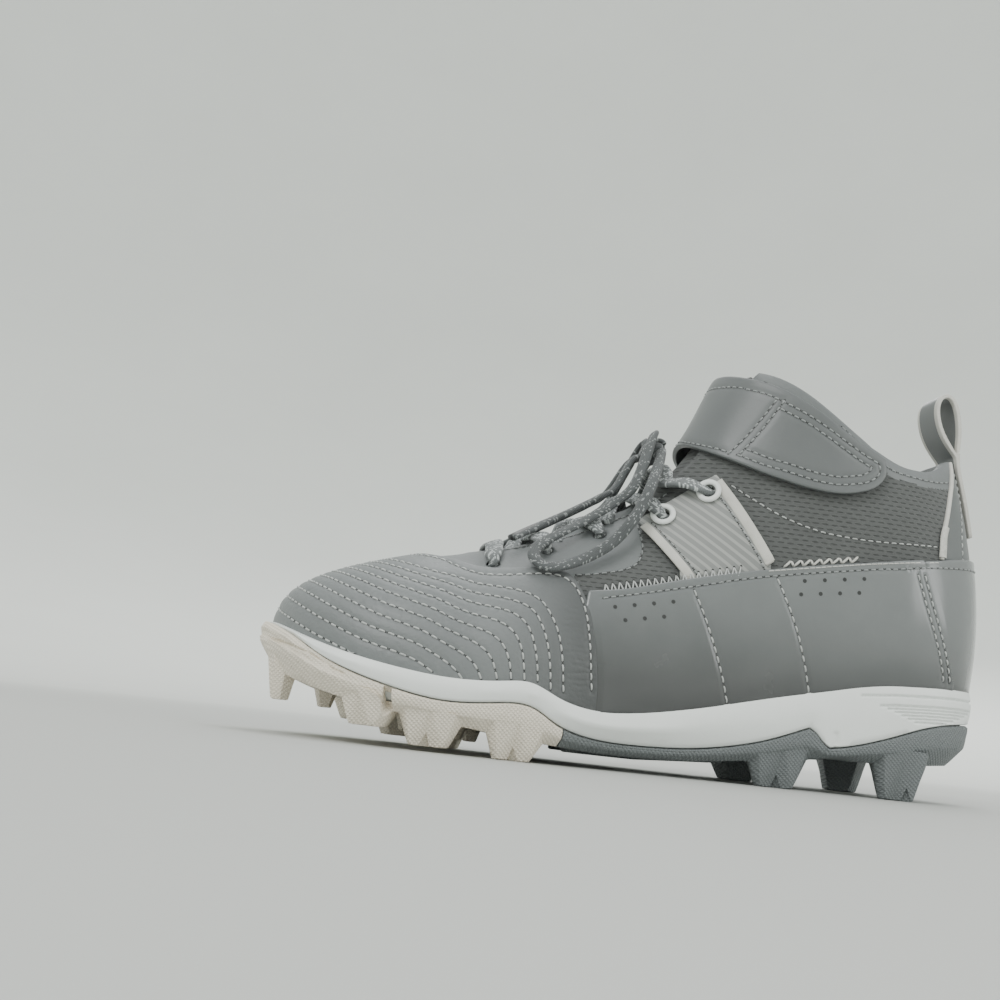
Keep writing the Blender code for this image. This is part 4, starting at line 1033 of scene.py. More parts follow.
def striped_panel(name, tone):
    """Pale panel leather with fine printed stripes, slanted, across its middle."""
    look = Finish(name, Specular_IOR_Level=0.4)
    hide = look.effect(HIDE_GRAIN, Scale=1100.0)
    wave = look.math("SINE", look.times(look.lean(look.place, (520.0, 0.0, 760.0)), 2.6))
    look.mottled(60.0, gray(tone * 0.95), gray(tone * 1.04))
    look.layer(look.span(wave, 0.1, 0.5, smooth=True), 0.75, gray(tone * 1.6, 0.02))
    look.rough(0.45, (look.slow, 0.1))
    look.bump((hide["Height"], 0.3, 0.1))
    return look.done()


# Painted shade: the vamp darker towards its rear, where it lay in shade and reflected dark
# surroundings.
VAMP_LEATHER = leather("vamp_leather", 0.2, 0.38, 820.0, 0.42, painted_shade=("X", -0.016, -0.055, 0.74))
STAY_LEATHER = leather("stay_leather", 0.19, 0.44, 900.0, 0.22)
# Painted reflection and shade: the glossy side covers darker towards the bottom, where the coated
# leather reflected dark surroundings.
QUARTER_GLOSS = leather(
    "quarter_gloss", 0.188, 0.16, 1500.0, 0.02, coat=0.6, rub=0.0, painted_shade=("Z", 0.022, 0.068, 0.9)
)
STRAP_LEATHER = leather("strap_leather", 0.146, 0.3, 1300.0, 0.06, dust=0.06)
ANKLE_TEXTILE = dimpled_textile("ankle_textile", 0.11)
TONGUE_TEXTILE = dimpled_textile("tongue_textile", 0.13)
KNIT_LINING = knit("knit_lining", 0.2)
INSOLE_CLOTH = knit("insole_cloth", 0.16, 1.1, 0.8)
WHITE_FOAM = foam("white_foam_skin", 0.88)
PLATE_OFF_WHITE = rubber("plate_off_white", 0.84, 0.12, 0.95, 0.3)
PLATE_GRAY = rubber("plate_gray", 0.215, -0.05, 0.95, 0.25)
LACE_FLAT = lace_weave("lace_flat_weave", 0.165, 0.6, 0.3)
LACE_CORD = lace_weave("lace_cord_weave", 0.1, 0.34, 0.12)
TIP_PLASTIC = moulded("lace_tip_plastic", 0.09, 0.3)
LIGHT_THREAD = thread("light_thread", 0.5, 0.0)
GRAY_THREAD = thread("gray_thread", 0.3, -0.02)
CREAM_THREAD = thread("cream_thread", 0.66, 0.04)
# Near black for the dots of painted shade in needle holes and punched holes.
HOLE_SHADE = thread("painted_hole_shade", 0.025, 0.0)
CREAM_WEBBING = webbing("cream_webbing", 0.6, 0.05)
RING_WHITE = moulded("ring_white", 0.8, 0.28)
PANEL_PALE = striped_panel("panel_pale", 0.25)
# The floor's painted light: darker in its middle and paler at its wall.
FLOOR_PAPER = paper("floor_paper", 0.49, 0.9)


# Camera, light and floor


def make_floor():
    """A round sheet of paper that curves up into a wall all round."""
    bends = np.linspace(0, math.pi / 2, FLOOR_STEPS + 1)[:, None]
    turns = 2 * np.pi * np.arange(FLOOR_SIDES) / FLOOR_SIDES
    reach, height = FLOOR_FLAT + FLOOR_RISE * np.sin(bends), FLOOR_RISE * (1 - np.cos(bends))
    rings = np.stack(
        np.broadcast_arrays(reach * np.cos(turns), reach * np.sin(turns), height), axis=-1
    )
    faces = ring_faces(*rings.shape[:2])[:-1]
    floor = mesh_piece(rings.reshape(-1, 3), faces, FLOOR_PAPER)
    floor.name = "pale_floor"
    floor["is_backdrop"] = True


def set_stage():
    deselect()
    bpy.ops.object.camera_add(
        location=CAMERA_SPOT, rotation=[math.radians(turn) for turn in CAMERA_TURN]
    )
    camera = bpy.context.object
    camera.name = "photo_camera"
    camera.data.lens = CAMERA_LENS
    camera.data.sensor_width = 36.0
    camera.data.clip_start = 0.005
    bpy.context.scene.camera = camera
    make_floor()
    for name, spot, goal, size, power in LIGHTS:
        deselect()
        bpy.ops.object.light_add(type="AREA", location=spot)
        light = bpy.context.object
        light.name = name
        light.data.size = size
        light.data.energy = power
        light.rotation_euler = (Vector(goal) - Vector(spot)).to_track_quat("-Z", "Y").to_euler()
    world = bpy.data.worlds.new("studio_air")
    bpy.context.scene.world = world
    world.use_nodes = True
    air = world.node_tree.nodes["Background"]
    air.inputs["Color"].default_value = (0.93, 0.97, 0.96, 1.0)
    air.inputs["Strength"].default_value = 0.95


# Laces


def mirrored(half):
    """A bar's outer half with the inner half added."""
    return list(half) + [(x, -y, z) for x, y, z in reversed(half[:-1])]


def hole_points(side, number):
    """From the mouth of a lace hole to the inside of the shoe."""
    centre, out = (np.array(row) for row in LACE_HOLES[side][number])
    return centre + out * HOLE_MOUTH, centre - out * HOLE_DEPTH


def lace_run(route, start=None, end=None, hump=0.0):
    """One strand of the lacing, its ends in the holes it is given, with a hump in its middle."""
    knots = [np.array(p) for p in route]
    if start:
        knots[:1] = reversed(hole_points(*start))
    if end:
        knots[-1:] = hole_points(*end)
    line = flow(knots, 0.6)
    ones = np.ones(len(line))
    lean = unit(np.column_stack([-0.45 * ones, line[:, 1] / 42.0, ones]))
    line = line + lean * (hump * np.exp(-((np.abs(line[:, 1]) / HUMP_HALF) ** 2)))[:, None]
    reach = travel(line)
    pinch = ones
    if start:
        pinch = pinch * np.clip(reach / PINCH_REACH, PINCH_LEAST, 1.0)
    if end:
        pinch = pinch * np.clip((reach[-1] - reach) / PINCH_REACH, PINCH_LEAST, 1.0)
    return tube(line, lean, LACE_WIDTH * pinch, LACE_THICK / np.sqrt(pinch), LACE_FLAT)


def under_edge(route, side):
    """Where a strand comes from, under the throat's edge on its first side."""
    x, y, z = route[0]
    return [(x - 2.6, y + side * 7.2, z - 5.2), (x - 1.2, y + side * 3.4, z - 2.0), *route]


def make_lacing():
    low = lace_run(mirrored(BAR_LOW), start=(OUTER, 0), end=(INNER, 0))
    settle_in(low, "lace_low_run", "lace_weave", "lace_bar_low")
    for number, route in enumerate(CROSSINGS):
        other = [(x, -y, z) for x, y, z in route]
        over = lace_run(under_edge(route, OUTER), end=(INNER, number + 1), hump=1.0)
        under = lace_run(under_edge(other, INNER), end=(OUTER, number + 1), hump=-0.9)
        settle_in(join([over, under]), f"lace_cross_run_{number + 1}", "lace_weave",
                  f"lace_cross_{number + 1}")
    top = lace_run(mirrored(BAR_TOP), start=(OUTER, 4), end=(INNER, 4))
    settle_in(top, "lace_top_run", "lace_weave", "lace_bar_top")


def bow_line(route, inside):
    """A bow route, its ends drawn into the knot."""
    knots = [np.array(p) for p in route]
    for end in (0, -1) if inside else (0,):
        knots[end] = knots[end] + unit(np.array(KNOT) - knots[end]) * KNOT_DRAW
    return flow(knots, 1.0)


def make_bow():
    for side, word in SIDES:
        for kind, routes in (("loop", LOOPS), ("end", ENDS)):
            line = bow_line(routes[side], kind == "loop")
            normals = INSTEP.lay(line)[1]
            for _ in range(40):
                normals[1:-1] = unit(normals[:-2] + 2 * normals[1:-1] + normals[2:])
            piece = tube(line, normals, BOW_WIDTH, BOW_THICK, LACE_CORD, flat=0.85)
            settle_in(piece, f"lace_{kind}_cord_{word}", "lace_weave", f"lace_{kind}_{word}")
            if kind == "end":
                tip = tube(line[-TIP_POINTS:], normals[-TIP_POINTS:], TIP_WIDTHS, TIP_THICKS,
                           TIP_PLASTIC, flat=1.0)
                settle_in(tip, f"lace_tip_{word}", "lace_weave")
            travel(line)[-1] * MM
    make_knot()


def make_knot():
    """The bow's knot: a wrap of lace drawn tight over a soft core."""
    middle, across, up = np.array(KNOT), np.array([0.0, 1.0, 0.0]), np.array(KNOT_UP)
    ahead = unit(np.cross(across, up))
    turn = np.linspace(-0.35, 2 * math.pi + 0.45, 70)
    drift = np.linspace(-1.9, 1.9, len(turn))
    wrap = (
        middle
        + ahead * (KNOT_REACH * np.cos(turn))[:, None]
        + up * (KNOT_RISE * np.sin(turn) + 0.2)[:, None]
        + across * drift[:, None]
    )
    out = ahead * (np.cos(turn) / KNOT_REACH)[:, None] + up * (np.sin(turn) / KNOT_RISE)[:, None]
    band = tube(wrap, out, KNOT_BAND, LACE_THICK, LACE_CORD)
    deselect()
    bpy.ops.mesh.primitive_uv_sphere_add(segments=28, ring_count=16, radius=1.0)
    core = bpy.context.object
    place = np.column_stack([ahead * KNOT_REACH, across * 7.0, up * 3.1])
    set_points(core, (points_of(core) @ place.T + middle) * MM)
    core.data.uv_layers[0].name = "lay"
    core.data.materials.append(LACE_CORD)
    core.data.shade_smooth()
    settle_in(join([band, core]), "lace_knot_wrap", "lace_weave", "lace_knot")


# Upper


def along_shoe(points):
    """How far along the shoe's side points lie, going on round its toe and heel."""
    x, y, _ = points.T
    along = np.clip(x, TOE_AXIS_X, HEEL_AXIS_X)
    heel = np.arctan2(np.maximum(x - HEEL_AXIS_X, 0), np.maximum(np.abs(y), 1e-6)) * 30.0
    toe = np.arctan2(np.maximum(TOE_AXIS_X - x, 0), np.maximum(np.abs(y), 1e-6)) * 40.0
    return along + heel - toe


def wrap_uv(piece):
    """Lays a UV in millimetres round the shoe: along its side and up."""
    points, layers = points_of(piece) / MM, piece.data.uv_layers
    lay_uv(piece.data, np.column_stack([along_shoe(points), points[:, 2]]))
    for other in [layer for layer in layers if layer.name != "lay"]:
        layers.remove(other)


def dressed(node, name, finish, levels):
    """A node's soft skin, finished and standing for it."""
    piece = soft_skin(node, levels)
    piece.data.materials.append(finish)
    wrap_uv(piece)
    return settle_in(piece, name, SLOTS[node], node)


def behind_eyestay(x, z):
    """Whether a spot on the side lies behind the eyestay's seam, on the textile."""
    xs, zs = zip(*EYESTAY_SEAM[:5])
    return x > xs[-1] or (x > xs[0] and z < np.interp(x, xs, zs))


def refine(piece, chosen, cuts):
    """Makes the faces that are chosen by their middle, in millimetres, finer."""
    take(piece)
    bpy.context.tool_settings.mesh_select_mode = (False, False, True)
    bpy.ops.object.mode_set(mode="EDIT")
    bpy.ops.mesh.select_all(action="DESELECT")
    bpy.ops.object.mode_set(mode="OBJECT")
    for face in piece.data.polygons:
        face.select = chosen(*(face.center / MM))
    bpy.ops.object.mode_set(mode="EDIT")
    bpy.ops.mesh.subdivide(number_cuts=cuts)
    bpy.ops.object.mode_set(mode="OBJECT")


def refine_along(piece, lines, reach, cuts):
    """Makes the faces within reach of lines finer."""
    spots = nearest_of(np.vstack(lines))
    refine(piece, lambda *middle: spots.find(Vector(middle))[2] < reach, cuts)


def beside(line, reach):
    """A test for spots that lie within reach of a line of x and z, seen from the side."""
    tree = nearest_of([(x, z, 0.0) for x, z in line])
    return lambda x, y, z: tree.find(Vector((x, z, 0.0)))[2] < reach


def make_upper():
    piece = soft_skin("upper", 2)
    refine(piece, beside(flow(EYESTAY_SEAM), 3.2), 3)
    rim = flow(COLLAR_TOP)
    by_band = beside([(x, z - COLLAR_BAND) for x, z in rim], 3.4)
    refine(piece, lambda x, y, z: x > BAND_FINE_X and by_band(x, y, z), 4)
    for finish in (STAY_LEATHER, ANKLE_TEXTILE, KNIT_LINING):
        piece.data.materials.append(finish)
    for face in piece.data.polygons:
        x, y, z = face.center / MM
        axis = Vector((min(max(x, TOE_AXIS_X), HEEL_AXIS_X), 0.0, 50.0))
        outward = face.normal.dot(Vector((x, y, z)) - axis)
        band = z > np.interp(x, *rim.T) - COLLAR_BAND
        cloth = behind_eyestay(x, z) and not (x > BAND_FRONT_X and band)
        face.material_index = 2 if outward < 0 else int(cloth)
    wrap_uv(piece)
    return settle_in(piece, "upper_shell", SLOTS["upper"], "upper")


def make_tongue():
    piece = soft_skin("tongue", 2, amount=0.55)
    piece.data.materials.append(TONGUE_TEXTILE)
    wrap_uv(piece)
    settle_in(piece, "tongue_pad", SLOTS["tongue"], "tongue")
    return piece


# Sole


def upright(normal):
    """The way up along a surface."""
    return unit(np.array([0.0, 0.0, 1.0]) - normal * normal[2])


def cutter(sides, middle, normal, size, apart=0.0):
    """A prism on a surface, with its size across, up and out, its two halves drawn apart."""
    up = upright(normal)
    deselect()
    bpy.ops.mesh.primitive_cylinder_add(vertices=sides, radius=1.0, depth=2.0)
    piece = bpy.context.object
    corners = points_of(piece)
    halves = np.sign(corners[:, 1].round(6))
    corners = corners * size
    corners[:, 1] += halves * apart
    set_points(piece, (corners @ np.array([np.cross(up, normal), up, normal]) + middle) * MM)
    return piece


def plate(node, name, finish, studs, slots=()):
    """A moulded plate with rounded walls, a notch in each main stud's outer face, and slots."""
    piece = soft_skin(node, 2, 21.0, 0.9)
    if slots:
        groove = bumper_groove(Skin(piece))
        refine_along(piece, [groove], 4.0, 7)
        press(piece, [groove], *BUMPER_TROUGH)
    skin = Skin(piece)
    cutters = []
    for x, side, z in slots:
        size = (SLOT_WIDTH / 2, SLOT_WIDTH / 2, SLOT_DEPTH)
        cutters.append(cutter(24, *skin.side(x, z, side), size, SLOT_HALF))
    for x, side, tip in studs:
        hit = skin.side(x, tip + NOTCH_HEIGHT * 0.4, side)
        if hit:
            spot, normal = hit
            up = upright(normal)
            rise = tip - 0.8 + NOTCH_HEIGHT / 3 - spot[2]
            size = (NOTCH_WIDTH / 1.73, NOTCH_HEIGHT / 1.5, NOTCH_DEPTH)
            cutters.append(cutter(3, spot + up * rise / max(up[2], 0.3), normal, size))
    tool = join(cutters)
    apply_modifier(piece, "BOOLEAN", object=tool, operation="DIFFERENCE", solver="EXACT")
    bpy.data.objects.remove(tool)
    piece.data.materials.clear()
    piece.data.materials.append(finish)
    take(piece)
    bpy.ops.object.shade_smooth_by_angle(angle=math.radians(32.0))
    settle_in(piece, name, SLOTS[node], node)


def bumper_groove(skin):
    """The line of the groove round the toe bumper, from the outer side to the inner."""
    return skin.round_line(
        TOE_AXIS_X, -1, np.arange(38.0, 142.1, 0.5),
        lambda degrees, ahead: read(TOE_AXIS_X + 60.0 * ahead, BUMPER_GROOVE),
    )


def heel_arc(skin, drop, first, last):
    """A line round the heel at a drop below the midsole's rim, from one angle to another."""
    return skin.round_line(
        HEEL_AXIS_X, 1, np.arange(first, last, 0.6),
        lambda degrees, ahead: read(min(degrees, 180.0 - degrees), HEEL_RIM) - drop,
    )


def make_midsole():
    """The foam midsole, with the moulded grooves round its heel."""
    piece = soft_skin("midsole", 2, 35.0)
    piece.data.materials.append(WHITE_FOAM)
    refine(piece, lambda x, y, z: 64.0 < x < 72.0 and 13.0 < z < 23.0 and abs(y) > 22.0, 6)
    skin = Skin(piece)
    grooves = [heel_arc(skin, HEEL_GROOVE_DROP, -20.0, 200.0)]
    for k in range(HEEL_RIBS):
        share = k / (HEEL_RIBS - 1)
        first, last = (a + (b - a) * share for a, b in zip(HEEL_RIB_TOP, HEEL_RIB_FOOT))
        for start, end in ((first, last), (180.0 - last, 180.0 - first)):
            grooves.append(heel_arc(skin, 2 * HEEL_GROOVE_DROP + HEEL_RIB_STEP * k, start, end))
    refine_along(piece, grooves, 2.4, 6)
    press(piece, grooves, *HEEL_TROUGH)
    press(piece, [skin.side_line(MIDSOLE_SINK, side)[0] for side, _ in SIDES], *SINK_TROUGH)
    wrap_uv(piece)
    settle_in(piece, "midsole_foam", SLOTS["midsole"], "midsole")


def make_rings():
    """The white rings round the two upper holes of each side."""
    for side, word in SIDES:
        for number in (1, 2):
            node = f"eyelet_{word}_{number}"
            low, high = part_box(node)
            out = Vector(LACE_HOLES[side][number + 2][1])
            deselect()
            bpy.ops.mesh.primitive_torus_add(
                location=(low + high) / 2, rotation=out.to_track_quat("Z", "Y").to_euler(),
                major_segments=48, minor_segments=16,
                major_radius=RING_RADIUS * MM, minor_radius=RING_WIRE * MM,
            )
            ring = bpy.context.object
            ring.scale.z = RING_FLAT
            ring.data.materials.append(RING_WHITE)
            ring.data.shade_smooth()
            settle_in(ring, f"ring_{word}_{number}", SLOTS[node], node)


# Vamp


def toe_columns(skin):
    """Lines up the outside of the vamp, every few degrees round the toe."""
    columns = []
    for angle in np.radians(np.arange(0.0, 180.1, 2.0)):
        way = np.array([-math.sin(angle), -math.cos(angle)])
        rays = (
            np.array([*(way * math.cos(climb)), math.sin(climb)])
            for climb in np.radians(np.arange(-8.0, 89.0, 1.0))
        )
        hits = (skin.inward(TOE_AXIS_X, 30.0, ray) for ray in rays)
        columns.append(np.array([hit[0] for hit in hits if hit and hit[0][2] > VAMP_FOOT]))
    return columns


def side_spokes(skin, side):
    """Lines that fan out over one side of the vamp from the foot of the toe."""
    return [
        parted(
            skin.side(TOE_AXIS_X + r * math.cos(lean), VAMP_FOOT + 1.0 + r * math.sin(lean), side)
            for r in np.arange(0.0, 60.0, 0.8)
        )[0]
        for lean in np.radians(np.arange(-8.0, 90.1, 2.0))
    ]


def row_spot(points, gaps, row):
    """Where a line of points that nears the seam comes within a row's distance of it."""
    inside = np.nonzero(gaps <= row)[0]
    if not len(inside) or inside[0] == 0:
        return None
    i = inside[0]
    share = (gaps[i - 1] - row) / max(gaps[i - 1] - gaps[i], 1e-6)
    return points[i - 1] + (points[i] - points[i - 1]) * share


def split(spots, gap):
    """Runs of spots that lie no further apart than a gap."""
    runs = [[]]
    for spot in spots:
        if runs[-1] and np.linalg.norm(spot - runs[-1][-1]) > gap:
            runs.append([])
        runs[-1].append(spot)
    return runs


def vamp_rows(skin):
    """The rows of stitching that echo the vamp's seam, and last the row along its edge."""
    seam_knots = [(x, z - 0.4) for x, z in VAMP_SEAM]
    seams = {side: skin.side_line(seam_knots, side)[0] for side, _ in SIDES}
    columns = toe_columns(skin)
    crown = np.array([column[-1] for column in columns if len(column)])
    columns = [column for column in columns[1:-1] if len(column) > 2]
    guides = [WALL.side_line(VAMP_GUIDE, side)[0] for side, _ in SIDES]
    tops = nearest_of(np.vstack([crown, *guides]))
    rears = nearest_of(np.vstack([line[line[:, 0] >= VAMP_BEND_X] for line in seams.values()]))

    def away(point):
        """Distance to the seam, rounded where its top and its rear meet."""
        gaps = np.array([tree.find(Vector(point))[2] for tree in (tops, rears)])
        low = gaps.min()
        return low - VAMP_CORNER * math.log(np.exp(-(gaps - low) / VAMP_CORNER).sum())

    paths = [*side_spokes(skin, OUTER), *columns, *reversed(side_spokes(skin, INNER))]
    paths = [(path, np.array([away(p) for p in path])) for path in paths]
    rows = []
    for i in range(VAMP_ROW_COUNT):
        spots = [row_spot(path, gaps, VAMP_FIRST_ROW + VAMP_ROW_STEP * i) for path, gaps in paths]
        runs = split([spot for spot in spots if spot is not None], 7.0)
        rows.extend(calm(even(np.array(run), 0.5), VAMP_CALM) for run in runs if len(run) > 4)
    inset = {side: [inside_edge(skin, point) for point in seams[side]] for side, _ in SIDES}
    over_toe = [step_back(column, VAMP_EDGE_ROW) for column in columns]
    edge = [*inset[OUTER][::-1], *over_toe, *inset[INNER]]
    edge = even(np.array([spot for spot in edge if spot is not None]), 0.5)
    return [*rows, calm(edge, VAMP_CALM)]


def step_back(path, reach):
    """The point of a path that lies a reach before its end."""
    way = travel(path)
    return at(way[-1] - reach, way, path)


def inside_edge(skin, point):
    """A spot on the outside of the vamp, a little inside its edge."""
    centre = np.array([min(max(point[0] - 6.0, -64.0), -34.0), point[1] * 0.9, 30.0])
    out = unit([0.0, point[1], 0.6 * (point[2] - 25.0)])
    hit = skin.ray(point + unit(centre - point) * VAMP_EDGE_ROW + out * 10.0, -out, 20.0)
    return hit[0] if hit else None


def vamp_wrinkles():
    """Fine wrinkles at the vamp's rear edge, as x and z."""
    rear = [(z, x) for x, z in reversed(VAMP_SEAM[6:])]
    lines = []
    for k in range(VAMP_WRINKLES):
        z = WRINKLE_FOOT_Z + WRINKLE_STEP * k
        end, length = read(z, rear) - 0.6, 6.0 + 1.5 * (k * 7 % 4)
        lines.append([
            (end - length * (1 - s), z + 0.3 * math.sin(2.4 * k + 5.0 * s))
            for s in np.linspace(0, 1, 4)
        ])
    return lines


def make_vamp():
    piece = dressed("vamp_overlay", "vamp_leather_cover", VAMP_LEATHER, 3)
    seat(piece)
    skin = Skin(piece)
    rows = vamp_rows(skin)
    wrinkles = [skin.side_line(line, side)[0] for line in vamp_wrinkles() for side, _ in SIDES]
    refine_along(piece, [*rows, *wrinkles], 1.5, 1)
    press(piece, rows, *ROW_TROUGH)
    press(piece, wrinkles, *WRINKLE_TROUGH)
    sew_on(Skin(piece), "vamp_stitching", SLOTS["vamp_overlay"], rows, LIGHT_THREAD)


# Side covers


def undulate(piece, amount, size):
    """Slow swellings, as coated leather has over a lining."""
    points, normals = points_of(piece), normals_of(piece)
    swell = [0.5 + 0.5 * noise.noise(Vector(p / (size * MM))) for p in points]
    set_points(piece, points + normals * (np.array(swell) * amount * MM)[:, None])


def quarter_top(x):
    """The height of the side covers' top edge."""
    return read(x, QUARTER_TOP)


def heel_line(skin, drop):
    """A line round the heel below the side covers' top edge."""
    return skin.round_line(
        HEEL_AXIS_X, 1, np.arange(0.0, 180.1, 2.0),
        lambda degrees, ahead: quarter_top(HEEL_AXIS_X + HEEL_ROUND * ahead) - drop,
    )


def rear_edge(piece, heights, reach):
    """Where a side cover ends towards the heel, at each height."""
    points = points_of(piece) / MM
    knots = []
    for z in heights:
        band = points[np.abs(points[:, 2] - z) < 1.6]
        knots.append((band[:, 0].max() - reach, z))
    return knots


def least_near(places, values):
    """For each point, the least value among the points at about the same place."""
    rows = np.round(places).astype(int)
    least = {row: values[rows == row].min() for row in np.unique(rows)}
    return np.array([least[row] for row in rows])


def seat(piece):
    """Lets a cover's lower edge down onto the midsole."""
    points = points_of(piece) / MM
    places = along_shoe(points) + np.where(points[:, 1] > 0, 1000.0, 0.0)
    points[points[:, 2] < least_near(places, points[:, 2]) + 0.7, 2] -= SEAT_DROP
    set_points(piece, points * MM)


def tuck_front(piece, side):
    """Draws a side cover's front edge forward, under the vamp's rear edge."""
    points = points_of(piece) / MM
    x, y, z = points.T
    edge = x < least_near(z, x) + EDGE_STRIP
    share = np.clip((FRONT_TOP_Z - z[edge]) / 5.0, 0.0, 1.0)
    points[edge] += np.outer(share, (-EDGE_TUCK, -side * EDGE_SINK, 0.0))
    set_points(piece, points * MM)


def tuck_counter(piece):
    """Draws the heel cover's two front edges forward, under the side covers' rear edges."""
    points = points_of(piece) / MM
    for side, _ in SIDES:
        half = np.nonzero((points[:, 1] * side > 0) & (points[:, 2] < 80.0))[0]
        x, y, z = points[half].T
        turn, reach = np.arctan2(x - HEEL_AXIS_X, np.abs(y)), np.hypot(x - HEEL_AXIS_X, y)
        edge = turn < least_near(z, turn) + EDGE_STRIP / HEEL_ROUND
        turn, reach = turn[edge] - EDGE_TUCK / HEEL_ROUND, reach[edge] - EDGE_SINK
        points[half[edge]] = np.column_stack(
            [HEEL_AXIS_X + reach * np.sin(turn), side * reach * np.cos(turn), z[edge]]
        )
    set_points(piece, points * MM)


def make_side_covers():
    covers = {
        side: dressed(f"quarter_{word}", f"quarter_cover_{word}", QUARTER_GLOSS, 4)
        for side, word in SIDES
    }
    counter = dressed("heel_counter", "heel_cover", QUARTER_GLOSS, 3)
    for side, piece in covers.items():
        undulate(piece, *SWELL)
        tuck_front(piece, side)
        seat(piece)
    tuck_counter(counter)
    seat(counter)
    skin = Skin(*covers.values(), counter, upper)
    heights = np.arange(41.0, 80.0, 3.0)
    seams, slants = [], []
    for side, piece in covers.items():
        slants += [skin.side_line(knots, side)[0] for knots in QUARTER_SLANTS]
        seams += [
            skin.side_line(rear_edge(piece, heights, reach), side)[0] for reach in HEEL_SEAM_ROWS
        ]
    xs = [QUARTER_ROW_START, *(x for x, _ in QUARTER_TOP[1:-2])]
    knots = [*((x, quarter_top(x) - QUARTER_ROW) for x in xs), (HEEL_AXIS_X, QUARTER_ROW_END_Z)]
    sides = {side: skin.side_line(knots, side)[0] for side in covers}
    top = np.vstack([sides[OUTER], heel_line(skin, QUARTER_ROW)[2:-2], sides[INNER][::-1]])
    for piece in covers.values():
        press(piece, [*seams, *slants, top], *SEAM_TROUGH)
    press(counter, [top], *COUNTER_TROUGH)
    skin = Skin(*covers.values(), counter, upper)
    sew_on(skin, "quarter_slant_stitching", "gloss_leather", slants, LIGHT_THREAD)
    sew_on(skin, "quarter_edge_stitching", "gloss_leather", [even(top, 0.5)], GRAY_THREAD,
           pitch=2.7, length=2.0, thick=0.55)
    sew_on(skin, "heel_seam_stitching", "gloss_leather", seams, LIGHT_THREAD, pitch=2.9, length=2.2)
    # Dark dots of painted shade where the punched holes are.
    spots = [skin.side(x, z, side) for side in covers for x, z in PUNCHED]
    settle_in(discs(spots, PUNCHED_RADIUS, sides=12), "punched_holes", "gloss_leather")
    return [*covers.values(), counter]


def zigzags(skin):
    """The zigzag seam on the side covers' top edge, and the loose one behind it."""
    legs, loose, raw, holes = [], [], [], []
    for side, _ in SIDES:
        row = [
            skin.side(x, quarter_top(x) + ZIGZAG_HEIGHTS[i % 2], side)
            for i, x in enumerate(ZIGZAG_STEPS)
        ]
        holes += [spot for spot in row[1::2] if spot]
        legs += linked(row)
        loose += linked([
            skin.side(x + LOOSE_LEAN * (i % 2), quarter_top(x) + LOOSE_HEIGHTS[i % 2], side)
            for i, x in enumerate(LOOSE_STEPS)
        ])
        raw += linked([skin.side(x, quarter_top(x) - RAW_EDGE_DROP, side) for x in RAW_EDGE_STEPS])
    settle_in(thread_legs(raw, 0.36, CREAM_THREAD), "quarter_raw_edge", "gloss_leather")
    settle_in(thread_legs(legs, 0.55, LIGHT_THREAD), "zigzag_stitching", "gloss_leather")
    # Dark dots of painted shade at the zigzag's upper needle holes.
    settle_in(discs(holes, ZIGZAG_HOLE), "zigzag_stitching_holes", "gloss_leather")
    settle_in(thread_legs(loose, 0.85, CREAM_THREAD), "loose_zigzag", "gloss_leather")


def tuck_foot(piece, side):
    """Draws a side panel's lower edge down, under the side cover's top edge."""
    points = points_of(piece) / MM
    for i in np.nonzero(points[:, 2] < quarter_top(points[:, 0]) + PANEL_TUCK)[0]:
        x, y, z = points[i]
        here, below = WALL.side(x, z, side), WALL.side(x, z - PANEL_TUCK, side)
        if here and below:
            points[i] = x, below[0][1] + PANEL_SINK * (y - here[0][1]), z - PANEL_TUCK
    set_points(piece, points * MM)


def make_side_panels():
    edgings, panels = [], []
    for side, word in SIDES:
        node = f"side_panel_{word}"
        piece = dressed(node, f"side_panel_cover_{word}", PANEL_PALE, 3)
        tuck_foot(piece, side)
        panels.append(piece)
        skin = Skin(piece)
        lines = []
        for knots, width, inward in ((PANEL_FRONT, 3.2, 2.4), (PANEL_BACK, 3.6, -2.6)):
            edgings.append(
                ribbon(*skin.side_line(knots, side, 0.7), width, 0.22, CREAM_WEBBING, edge=0.2)
            )
            lines.append(skin.side_line([(x + inward, z + 0.4 * inward) for x, z in knots], side))
        sew(f"panel_stitching_{word}", SLOTS[node], lines, GRAY_THREAD, 2.4, 1.7, 0.5)
    settle_in(join(edgings), "panel_edging", "pale_panel")
    return panels


def make_upper_seams():
    """Seams on the eyestay, the ankle textile and the collar."""
    lines, light = [], []
    top = flow(COLLAR_TOP).T
    collar = [(x, np.interp(x, *top) - COLLAR_ROW) for x in COLLAR_ROW_STEPS]
    for side, _ in SIDES:
        lines.append(WALL.side_line(EYESTAY_SEAM, side))
        light.append(WALL.side_line(ANKLE_SEAM, side))
        lines.append(parted(
            WALL.ray((x, side * (read(x, THROAT_HALF) + THROAT_ROW), 220.0), (0, 0, -1))
            for x in THROAT_ROW_STEPS
        ))
        lines.append(WALL.side_line(collar, side))
    for name, seams, finish in (
        ("eyestay_stitching", lines, GRAY_THREAD), ("ankle_stitching", light, LIGHT_THREAD),
    ):
        sew(name, "gray_textile", seams, finish, *FINE_STITCH)


# Strap and pull tab


def strap_line(skin, knots):
    """A line on the strap through knots of angle and height."""
    hits = []
    for angle, z in knots:
        turn = math.radians(angle)
        way = np.array([-math.cos(turn), math.sin(turn), 0.0])
        hits.append(skin.inward(STRAP_AXIS_X, z, way, RAY_THROUGH))
    return skin.lay(even(parted(hits)[0], 0.5))[0]


